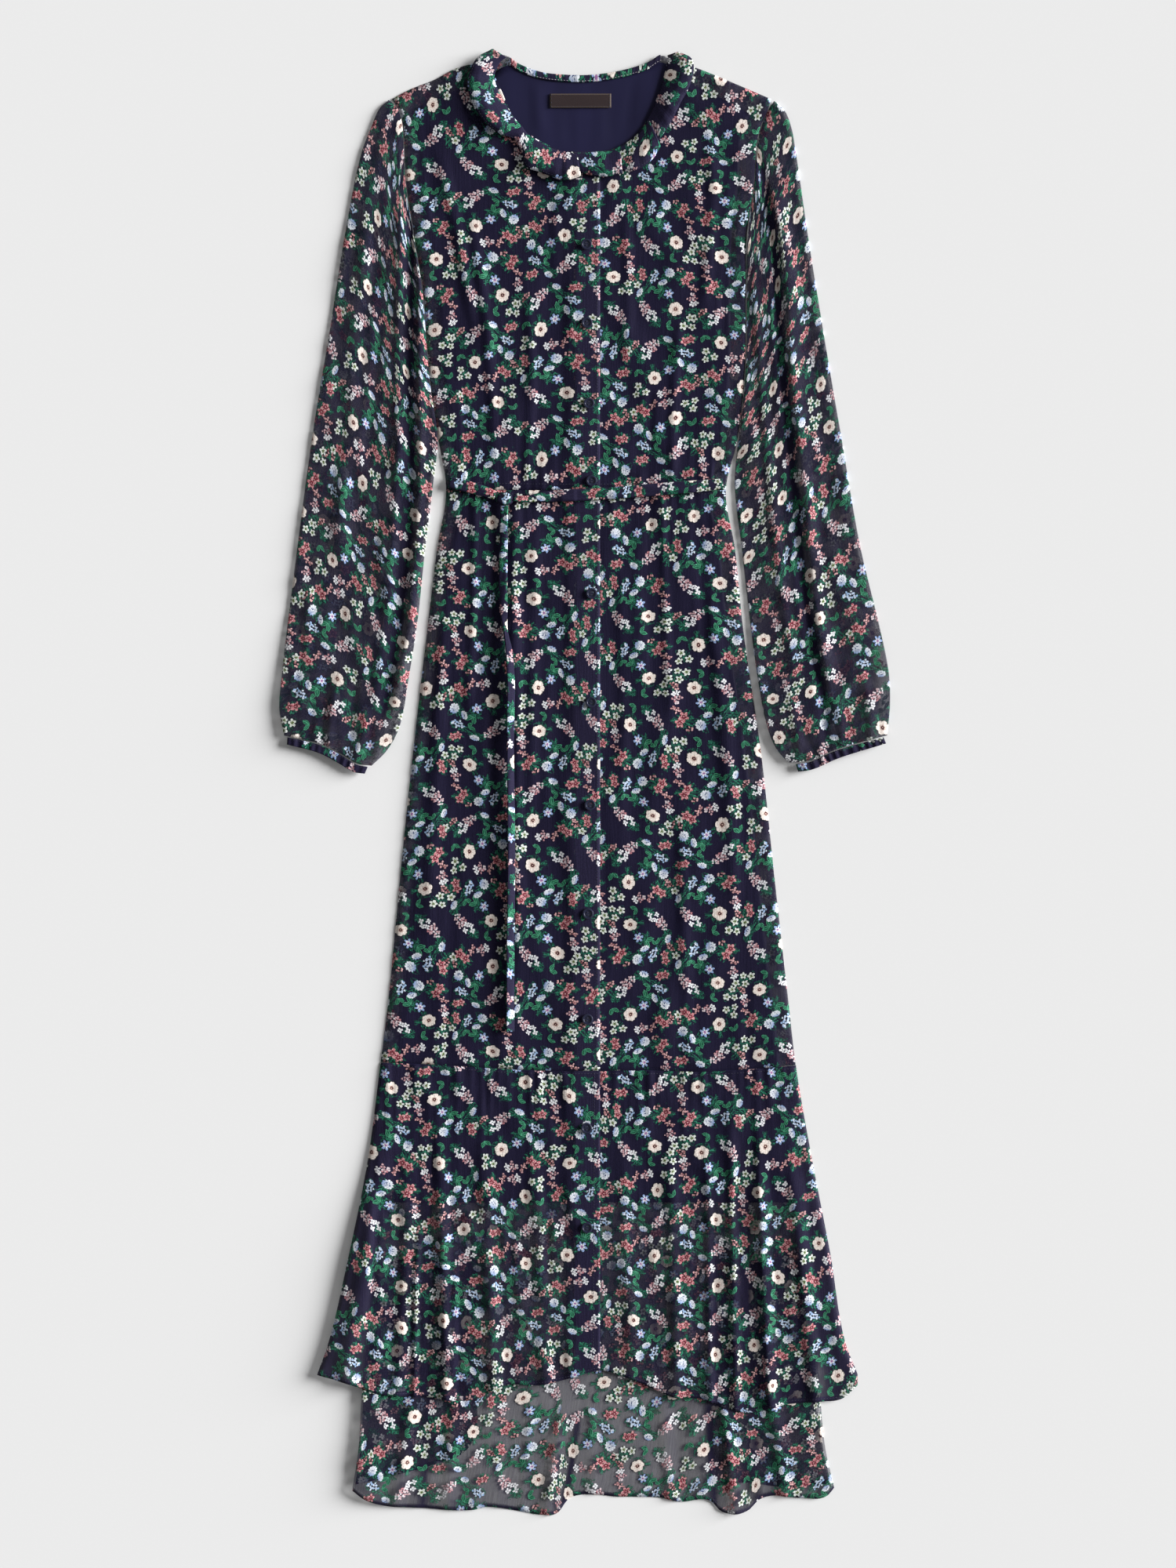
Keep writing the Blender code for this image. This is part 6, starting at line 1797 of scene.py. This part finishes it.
@dataclass
class Sleeve:
    """A long sleeve laid flat, and the narrow gathered cuff at its end."""

    finishes: Finishes
    side: Side
    outer: tuple[Plan, ...]
    inner: tuple[Plan, ...]
    end: tuple[Plan, ...]
    cuff_top: tuple[Plan, ...]
    cuff_hem: tuple[Plan, ...]
    creases: tuple[Crease, ...]
    seed: int
    level: float = 3.4
    under_level: float = 0.35
    edge: float = 4.5             # width of the rounded edges
    lift: float = 3.5             # how far its end stands off the floor
    step: float = 3.6

    def make(self) -> None:
        """Make the sleeve and its cuff."""
        self.make_sleeve()
        self.make_cuff()

    def ring_shares(self, width: float) -> tuple[Array, Array]:
        """Return the shares of the width of a ring's upper points, and of its lower ones."""
        bend = np.array([0.0, 0.25, 0.9, 1.9, 3.1]) / width
        upper = np.concatenate([bend, spread(self.edge / width, 1 - self.edge / width, 2.5 / width),
            1.0 - bend[::-1]])
        lower = np.concatenate([spread(1 - self.edge / width, self.edge / width, 5.0 / width)])
        lower = np.concatenate([1.0 - bend[1:], lower, bend[:0:-1]])
        return upper, lower

    def tube(self, name: str, edges: tuple[Array, Array, Array, Array],
            upper_level: Callable[[Array, Array], Array], layers: Callable[[Array], Array], shift: Plan,
            columns: tuple[Array, Array]) -> bpy.types.Object:
        """Make a flattened tube of cloth.

        Args:
            name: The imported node's name.
            edges: The top, the bottom, and the edges towards -X and +X, as knots.
            upper_level: The upper layer's height from its plan points and share of the width.
            layers: The extra layers from the plan points.
            shift: Where the print starts.
            columns: The shares of the width of the upper and the lower points.

        Returns:
            The piece.
        """
        top, bottom, first, last = edges
        long = max(lengths(first)[-1], lengths(last)[-1])
        rows = np.linspace(0.0, 1.0, max(6, round(long / self.step)))
        upper_at, lower_at = columns
        first, last = trace(first, rows), trace(last, rows)
        upper = patch(trace(top, upper_at), trace(bottom, upper_at), first, last)
        low_shares = np.concatenate([[0.0], lower_at[::-1], [1.0]])
        lower = patch(trace(top, low_shares), trace(bottom, low_shares), first, last)[:, -2:0:-1]
        width = np.linalg.norm(last - first, axis=-1)[:, None]
        near_up = np.minimum(upper_at, 1 - upper_at)[None] * width / self.edge
        near_low = np.minimum(lower_at, 1 - lower_at)[None] * width / self.edge
        high = upper_level(upper, upper_at)
        low = self.under_level + np.zeros(lower.shape[:-1])
        half = 0.5 * (high.mean() + self.under_level)
        up_z = half + (high - half) * round_over(near_up)
        low_z = half + (low - half) * round_over(near_low)
        plan = np.concatenate([upper, lower], axis=1)
        level = np.concatenate([up_z, low_z], axis=1)
        level = level + self.lift * smoothstep((plan[..., 1] - 540.0) / 120.0)
        points = raised(plan, level)
        wrap = np.concatenate([points, points[:, :1]], axis=1)
        gaps = np.linalg.norm(np.diff(wrap, axis=1), axis=-1)
        along = np.concatenate([np.zeros((len(points), 1)), np.cumsum(gaps, axis=1)], axis=1)
        along = along - 0.5 * along[:, [upper.shape[1] - 1]]
        down = lengths(0.5 * (first + last))[:, None] + np.zeros_like(along)
        place = np.stack([along + shift[0], down + shift[1]], axis=-1)
        return shell(f"{name}_cloth", Cloth(points, place, layers(plan), round=True),
            self.finishes.single, under=self.finishes.reverse)

    def make_sleeve(self) -> None:
        """Make the sleeve, with its cap gathered into the armhole."""
        outset = 0.7 * self.side.value
        drops = np.array([58.0, 70.0, 86.0, 106.0, 126.0, 146.0, 166.0])
        armhole = np.concatenate([np.array(self.outer[:1], float),
            line(PLAN.side_x(drops, self.side) + outset, drops)])
        drops = np.array([166.0, 200.0, 240.0, 285.0, 335.0, 385.0])
        beside = line(PLAN.side_x(drops, self.side) + outset, drops)
        inner = np.concatenate([beside, np.array(self.inner, float)])
        outer, end = np.array(self.outer, float), np.array(self.end, float)
        if self.side is Side.LEFT:
            armhole, end = armhole[::-1], end[::-1]
            edges = (armhole, end, inner, outer)
        else:
            edges = (armhole, end, outer, inner)

        def upper_level(plan: Array, at: Array) -> Array:
            """Return the sleeve's upper height."""
            x, drop = plan[..., 0], plan[..., 1]
            away = self.side.value * (x - PLAN.side_x(np.minimum(drop, 166.0), self.side))
            cap = smoothstep(away / 7.0 + np.maximum(drop - 166.0, 0.0) / 7.0)
            rise, _ = crease_forms(plan, self.creases)
            wave = ripple(plan, self.seed, 34.0, 170.0, 0.75)
            drawn = gathers(plan, read(sorted(self.end), x), self.seed, 9.0, 20.0, 0.8)
            fine = 0.4 * np.sin(drop / 1.35 + 1.3 * np.sin(drop / 5.1)) * np.exp(-away / 9.0)
            fine = fine * smoothstep((150.0 - drop) / 20.0)
            return PLAN.armhole_level + (self.level - PLAN.armhole_level) * cap + cap * (spring(rise +
                wave + drawn, 2.2)) + fine

        def layers(plan: Array) -> Array:
            """Return the extra layers held in the sleeve's folds."""
            return crease_forms(plan, self.creases)[1]

        name = f"sleeve_{self.side.key()}"
        piece = self.tube(name, edges, upper_level, layers, (self.seed * 7.0, 19.0),
            self.ring_shares(100.0))
        report(piece, [name])

    def make_cuff(self) -> None:
        """Make the cuff: a short casing, drawn up in small uneven gathers."""
        top, hem = np.array(self.cuff_top, float), np.array(self.cuff_hem, float)
        if self.side is Side.LEFT:
            top, hem = top[::-1], hem[::-1]
        edges = (top, hem, np.stack([top[0], hem[0]]), np.stack([top[-1], hem[-1]]))
        width = lengths(top)[-1]
        chance = np.random.default_rng(self.seed)
        turns = [2 * math.pi * width / (pitch * chance.uniform(0.8, 1.3)) for pitch in (6.5, 9.0)]

        def upper_level(plan: Array, at: Array) -> Array:
            """Return the cuff's upper height."""
            wave = sum(np.sin(at * turn + 1.1 * np.sin(at * turn * 0.21 + k) + 2 * k) for k,
                turn in enumerate(turns))
            return 3.0 + 0.32 * wave[None] + np.zeros(plan.shape[:-1])

        def layers(plan: Array) -> Array:
            """Return the extra layers of the casing."""
            return np.full(plan.shape[:-1], 1.2)

        bend = np.array([0.0, 0.25, 0.9, 1.9]) / width
        upper = np.concatenate([bend, spread(3.0 / width, 1 - 3.0 / width, 0.9 / width),
            1.0 - bend[::-1]])
        lower = np.concatenate([1.0 - bend[1:], spread(1 - 3.0 / width, 3.0 / width, 3.0 / width),
            bend[:0:-1]])
        name = f"cuff_{self.side.key()}"
        step, self.step = self.step, 0.8
        piece = self.tube(name, edges, upper_level, layers, (self.seed * 3.0, 60.0), (upper, lower))
        self.step = step
        casing = trace(top, np.linspace(0.04, 0.96, 60)) + np.array([0.0, 1.4])
        height = upper_level(casing[None], np.linspace(0.04, 0.96, 60))[0] + self.lift
        self.finishes.stitching.row(raised(casing, height))
        report(piece, [name])


def sleeve_right(finishes: Finishes) -> Sleeve:
    """Return the right sleeve, as it lies."""
    return Sleeve(
        finishes, Side.RIGHT, seed=121,
        outer=((-198, 49), (-207, 57), (-215, 75), (-224, 98), (-241, 180), (-257, 280),
               (-273.5, 380), (-289, 495), (-304, 620), (-306.5, 655), (-302, 681)),
        inner=((-154, 430), (-162, 495), (-170, 570), (-178, 622), (-188, 674), (-200, 696),
               (-215, 711)),
        end=((-302, 681), (-264, 690), (-244, 700), (-229, 709), (-215, 711)),
        cuff_top=((-298.5, 682.8), (-263.5, 691.5), (-244, 701.5), (-230, 710), (-219, 712.2)),
        cuff_hem=((-299, 690), (-266, 699), (-248, 708.5), (-232, 717.5), (-222, 719)),
        creases=(
            Crease(((-178, 130), (-177, 292), (-180, 483), (-193, 592), (-206, 672)),
                   -3.7, 5, 6, 0.06, 0.06, 1.2),
            Crease(((-187, 130), (-187, 292), (-191, 470), (-204, 592), (-216, 672)),
                   2.7, 10.2, 6, 0.1, 0.1),
            Crease(((-170, 150), (-167, 300), (-169, 480), (-181, 592), (-195, 668)),
                   4.4, 7, 8, 0.1, 0.1),
            Crease(((-214, 90), (-226, 240), (-240, 400), (-262, 560)), 1.9, 11, 10),
            Crease(((-230, 603), (-232, 640), (-236, 684)), -1.8, 5, 5, 0.4, 0.02),
            Crease(((-287, 603), (-290, 640), (-292, 676)), -1.6, 5, 4, 0.4, 0.02),
            Crease(((-276, 520), (-278, 570), (-280, 620)), 1.8, 6.8, 6),
            Crease(((-203, 470), (-205, 500), (-208, 534)), 1.6, 6, 6),
            Crease(((-250, 620), (-254, 655), (-258, 688)), 2.1, 6.8, 6, 0.4, 0.02),
            Crease(((-270, 630), (-274, 660), (-278, 684)), -1.4, 4, 4, 0.4, 0.02),
            Crease(((-215, 640), (-222, 676), (-230, 704)), 1.9, 6, 5, 0.4, 0.02),
            Crease(((-205, 240), (-212, 330), (-222, 430)), -1.4, 9, 7)))


def sleeve_left(finishes: Finishes) -> Sleeve:
    """Return the left sleeve, as it lies."""
    return Sleeve(
        finishes, Side.LEFT, seed=137,
        outer=((185, 50), (195, 59), (202, 76), (206, 98), (218, 180), (234, 280), (251, 380),
               (271, 495), (289, 570), (298.5, 617), (300, 648), (297, 681)),
        inner=((146, 430), (153, 495), (161.5, 570), (170, 632), (178, 672), (187, 694),
               (199, 708)),
        end=((297, 681), (246, 695), (220, 706), (199, 708)),
        cuff_top=((293.5, 682.8), (245.5, 696.5), (220, 707.5), (206.5, 709.5)),
        cuff_hem=((296, 689), (248, 704), (222, 715), (209, 717)),
        creases=(
            Crease(((166, 97), (183, 183), (191, 300), (202, 417), (215, 548), (231, 636),
                    (236, 690)), -4.2, 6, 7, 0.04, 0.04, 1.4),
            Crease(((180, 120), (194, 200), (203, 320), (214, 430), (228, 560), (243, 660)),
                   4.8, 8, 14, 0.1, 0.1),
            Crease(((160, 170), (170, 300), (182, 430), (196, 560), (212, 660)), 2.4, 8.5, 8),
            Crease(((204, 150), (222, 300), (240, 430), (262, 560)), -1.3, 9, 8),
            Crease(((255, 650), (260, 672), (264, 690)), -1.9, 4, 4, 0.4, 0.02),
            Crease(((212, 668), (220, 690), (227, 703)), -1.8, 4, 4, 0.4, 0.02),
            Crease(((234, 632), (237, 650), (240, 668)), -1.6, 4, 4),
            Crease(((270, 600), (277, 640), (281, 684)), 2.1, 6.8, 7, 0.4, 0.02),
            Crease(((288, 640), (290, 660), (291, 682)), -1.3, 3, 3, 0.4, 0.02),
            Crease(((247, 640), (250, 664), (252, 692)), 1.9, 5.1, 5, 0.4, 0.02),
            Crease(((196, 620), (204, 660), (211, 700)), 1.8, 5.1, 6, 0.4, 0.02)))


class Turn(NamedTuple):
    """The tie at one place: its middle, its width, its height and its twist in degrees."""

    x: float
    drop: float
    wide: float
    high: float
    twist: float


@dataclass
class WaistTie:
    """The waist tie: a run from each side seam, the knot, and the end that hangs from it."""

    finishes: Finishes
    bodice: Bodice
    skirt: Skirt
    right: tuple[Turn, ...] = (
        Turn(-138, 429.5, 11.0, 2.6, 0), Turn(-129, 431.5, 11.2, 2.8, 0),
        Turn(-117, 434.5, 11.0, 3.0, 4), Turn(-106, 437.5, 10.6, 3.2, 8),
        Turn(-92, 442.5, 8.6, 3.4, 14))
    left: tuple[Turn, ...] = (
        Turn(-74, 446, 5.6, 3.4, 50), Turn(-60, 446, 6.4, 3.3, 24), Turn(-44, 444, 9.6, 3.2, 8),
        Turn(-29, 443, 11.6, 3.1, 0), Turn(4, 441.7, 11.4, 3.0, 0), Turn(26, 440.2, 11.4, 3.0, 0),
        Turn(51, 438.2, 12.0, 3.0, 0), Turn(90, 435, 12.0, 2.9, 0), Turn(112, 433.2, 11.4, 2.7, 0),
        Turn(134, 430.7, 9.6, 2.2, 0))
    tail: tuple[Turn, ...] = (
        Turn(-83, 453, 7.4, 3.0, -30), Turn(-84, 500, 8.0, 2.8, -14), Turn(-84, 556, 8.0, 2.6, -10),
        Turn(-82, 577, 4.6, 3.0, 90), Turn(-78, 600, 7.6, 2.4, 172), Turn(-77, 700, 7.8, 2.2, 180),
        Turn(-76, 800, 8.2, 2.1, 180), Turn(-77, 900, 8.6, 2.0, 180), Turn(-77, 975, 9.0, 1.8, 180))
    knot: tuple[Turn, ...] = (
        Turn(-90.2, 444, 7.0, 3.0, 0), Turn(-88.5, 444.6, 10.6, 4.2, 0),
        Turn(-84, 446, 12.2, 5.0, 0), Turn(-79, 446.4, 11.4, 4.6, 0), Turn(-75, 446, 6.8, 3.2, 0))
    step: float = 1.6
    wall: float = 0.3
    gap: float = 0.3              # mm between the tie and the cloth that it rests on

    def make(self) -> None:
        """Make the tie's four pieces."""
        for name, turns, flat in (("waist_tie_right", self.right, (0.026, 0.05)),
                ("waist_tie_left", self.left, (0.026, 0.21)),
                ("waist_tie_tail", self.tail, (0.022, 0.525)),
                ("waist_tie_knot", self.knot, (0.03, 0.018))):
            piece = self.ribbon(name, turns)
            report(piece, [name])

    def rest(self, path: Array, across: Array, wide: Array) -> Array:
        """Return the height of the cloth that the tie rests on, along its path."""
        highest = PLAN.on_front(path)
        for share in (-0.5, -0.25, 0.0, 0.25, 0.5):
            under = path + share * wide[:, None] * across
            for below in (self.bodice, self.skirt):
                for side in Side:
                    highest = np.maximum(highest, below.level(under, side)[0] + self.gap)
        ends = np.pad(highest, 4, mode="edge")
        return np.max([ends[k:k + len(highest)] for k in range(9)], axis=0)

    def ribbon(self, name: str, turns: Sequence[Turn]) -> bpy.types.Object:
        """Make a stretch of the tie as a flattened tube.

        Args:
            name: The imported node's name.
            turns: Where it lies, how wide and high it is and how it is twisted.

        Returns:
            The piece.
        """
        table = np.array(turns, dtype=float)
        along = lengths(table[:, :2])
        at = spread(0.0, along[-1], self.step)
        x, drop, wide, high, twist = (read(np.stack([along, c], axis=1), at) for c in table.T)
        path = np.stack([x, drop], axis=-1)
        forward = np.gradient(path, axis=0)
        forward = forward / np.linalg.norm(forward, axis=-1, keepdims=True)
        across = np.stack([-forward[:, 1], forward[:, 0]], axis=-1)
        angle = np.linspace(0.0, 2 * math.pi, 24, endpoint=False)
        out = np.sign(np.cos(angle)) * np.abs(np.cos(angle)) ** 0.8
        up = np.sign(np.sin(angle)) * np.abs(np.sin(angle)) ** 0.7
        chance = np.random.default_rng(len(turns))
        crumple = 1.0 + 0.16 * np.sin(at[:, None] / 9.0 + 3 * angle[None] + chance.uniform(0, 6))
        flat_out = out[None] * wide[:, None] / 2
        flat_up = up[None] * (high[:, None] / 2) * crumple
        lean = np.radians(np.clip(twist, -90, 90))[:, None] * 0.35
        sway = flat_out * np.cos(lean) - flat_up * np.sin(lean)
        rise = flat_out * np.sin(lean) + flat_up * np.cos(lean)
        plan = path[:, None] + sway[..., None] * across[:, None]
        base = (self.rest(path, across, wide) + high / 2)[:, None] + self.gap
        lift = np.maximum(0.0, -(rise + high[:, None] / 2)).max(axis=1, keepdims=True)
        points = raised(plan, base + rise + lift)
        turned = np.cross(np.append(forward[0], 0.0), np.append(across[0], 0.0))[2]
        if turned < 0:
            points = points[:, ::-1]
        wrap = np.concatenate([points, points[:, :1]], axis=1)
        gaps = np.linalg.norm(np.diff(wrap, axis=1), axis=-1)
        round_ = np.concatenate([np.zeros((len(points), 1)), np.cumsum(gaps, axis=1)], axis=1)
        spiral = 0.10 * twist[:, None] * 0.2
        place = np.stack([round_ + spiral + 40.0 * len(turns), at[:, None] + np.zeros_like(round_)],
            axis=-1)
        layers = np.full(points.shape[:-1], 1.0)
        return shell(f"{name}_cloth", Cloth(points, place, layers, round=True), self.finishes.double,
            thick=self.wall)


@dataclass
class Buttons:
    """The eleven buttons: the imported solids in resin, sewn on with thread."""

    finishes: Finishes
    turns: tuple[float, ...] = (4, 12, -6, 8, 0, -10, 6, 14, -4, 9, 2)
    dish: float = 0.7             # mm from a button's rim down into its dish
    apart: float = 2.6            # mm between its holes
    thick: float = 0.55

    def make(self) -> None:
        """Give each button its resin and its thread."""
        middles = []
        for number in range(1, len(self.turns) + 1):
            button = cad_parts[f"button_{number:02d}"]
            for k in range(len(button.material_slots)):
                button.material_slots[k].material = self.finishes.resin
            low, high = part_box(button.name)
            middles.append(((low[0] + high[0]) / 2, (low[1] + high[1]) / 2, high[2] - self.dish * MM))
            LOG.info("%s: resin", button.name)
        mesh = bpy.data.meshes.new("button_thread")
        mesh.from_pydata(middles, [], [])
        turn = mesh.attributes.new("turn", "FLOAT", "POINT")
        turn.data.foreach_set("value", np.radians(self.turns).astype(np.float32))
        piece = placed("button_thread", mesh)
        tree, names = self.tree()
        size = ((self.apart + 0.9) * MM, self.thick * MM, self.thick * MM)
        realized(piece, tree, {names["Size"]: size, names["Apart"]: self.apart * MM,
            names["Thread"]: self.finishes.navy_thread})
        report(piece, [])

    def tree(self) -> tuple[bpy.types.NodeTree, dict[str, str]]:
        """Build the tree that sets two bars of thread in each button.

        Returns:
            The tree, and each input's identifier by its name.
        """
        tree = bpy.data.node_groups.new("button_thread", "GeometryNodeTree")
        tree.interface.new_socket("Geometry", in_out="OUTPUT", socket_type="NodeSocketGeometry")
        kinds = (("Middles", "Geometry"), ("Size", "Vector"), ("Apart", "Float"),
                 ("Thread", "Material"))
        names = {name: node_input(tree, name, "NodeSocket" + kind) for name, kind in kinds}
        given = add(tree, "NodeGroupInput")
        strand = add(tree, "GeometryNodeMeshUVSphere", {"Segments": 8, "Rings": 6, "Radius": 0.5})
        both = add(tree, "GeometryNodeJoinGeometry")
        for share in (-0.5, 0.5):
            away = add(tree, "Math", {0: given.outputs["Apart"], 1: share}, operation="MULTIPLY")
            place = add(tree, "CombineXYZ", {1: away})
            bar = add(tree, "GeometryNodeTransform", {0: strand, "Translation": place,
                "Scale": given.outputs["Size"]})
            tree.links.new(bar.outputs[0], both.inputs[0])
        turn = add(tree, "GeometryNodeInputNamedAttribute", {"Name": "turn"}, data_type="FLOAT")
        turn = add(tree, "CombineXYZ", {2: turn})
        sewn = add(tree, "GeometryNodeInstanceOnPoints", {"Points": given.outputs["Middles"],
            "Instance": both, "Rotation": turn})
        plain = add(tree, "GeometryNodeRealizeInstances", {0: sewn})
        done = add(tree, "GeometryNodeSetMaterial", {0: plain, "Material": given.outputs["Thread"]})
        add(tree, "NodeGroupOutput", {0: done})
        return tree, names


@dataclass
class Studio:
    """A pale floor, a large soft light from the upper right, a soft fill, and the camera."""

    floor_colour: str = "#e9e9e9"
    floor_grain: str = "#ebebeb"
    light_turn: float = 72.0      # degrees from straight above, towards +X
    light_heading: float = 14.0   # degrees from +X towards +Y
    light_strength: float = 8.27
    light_spread: float = 34.0
    fill: float = 0.20
    view_length: float = 1.560    # metres that the frame's long side takes in
    lens: float = 85.0

    def make(self) -> None:
        """Make the floor, the lights and the camera."""
        mesh = bpy.data.meshes.new("floor")
        mesh.from_pydata([(-4, -4, 0), (4, -4, 0), (4, 4, 0), (-4, 4, 0)], [], [(0, 1, 2, 3)])
        material, tree, shader = start_material("matt_paper")
        place = add(tree, "TexCoord")
        grain = add(tree, "TexNoise", {"Vector": place.outputs["Object"], "Scale": 400.0})
        colour = add(tree, "Mix", {0: grain, 6: linear(self.floor_colour), 7: linear(self.floor_grain)},
            data_type="RGBA")
        finish(shader, {"Base Color": colour.outputs[2]}, Roughness=1.0, Specular_IOR_Level=0.0)
        mesh.materials.append(material)
        floor = placed("floor", mesh)

        sun = bpy.data.lights.new("soft_window", "SUN")
        sun.energy = self.light_strength
        sun.angle = math.radians(self.light_spread)
        lamp = placed("soft_window", sun)
        lamp.rotation_euler = (0.0, math.radians(self.light_turn), math.radians(self.light_heading))

        world = bpy.data.worlds.new("soft_fill")
        bpy.context.scene.world = world
        world.use_nodes = True
        back = world.node_tree.nodes["Background"]
        back.inputs["Color"].default_value = linear("#ffffff")
        back.inputs["Strength"].default_value = self.fill

        camera = bpy.data.cameras.new("camera")
        camera.lens = self.lens
        camera.sensor_width = 36.0
        stand = placed("camera", camera)
        distance = self.view_length * self.lens / camera.sensor_width
        stand.location = (0.0031, -0.0012, distance)
        bpy.context.scene.camera = stand
        bpy.context.scene.view_settings.view_transform = "Standard"


def main() -> None:
    """Build the dress, piece by piece."""
    logging.basicConfig(level=logging.INFO, format="%(name)s: %(message)s")
    finishes = Finishes().make()
    Studio().make()
    Lining(finishes).make()
    bodice, skirt = Bodice(finishes), Skirt(finishes)
    bodice.make()
    skirt.make()
    Flounce(finishes).make()
    Neck(finishes).make()
    sleeve_right(finishes).make()
    sleeve_left(finishes).make()
    WaistTie(finishes, bodice, skirt).make()
    Buttons(finishes).make()
    finishes.stitching.make(finishes)


if __name__ == "__main__":
    main()
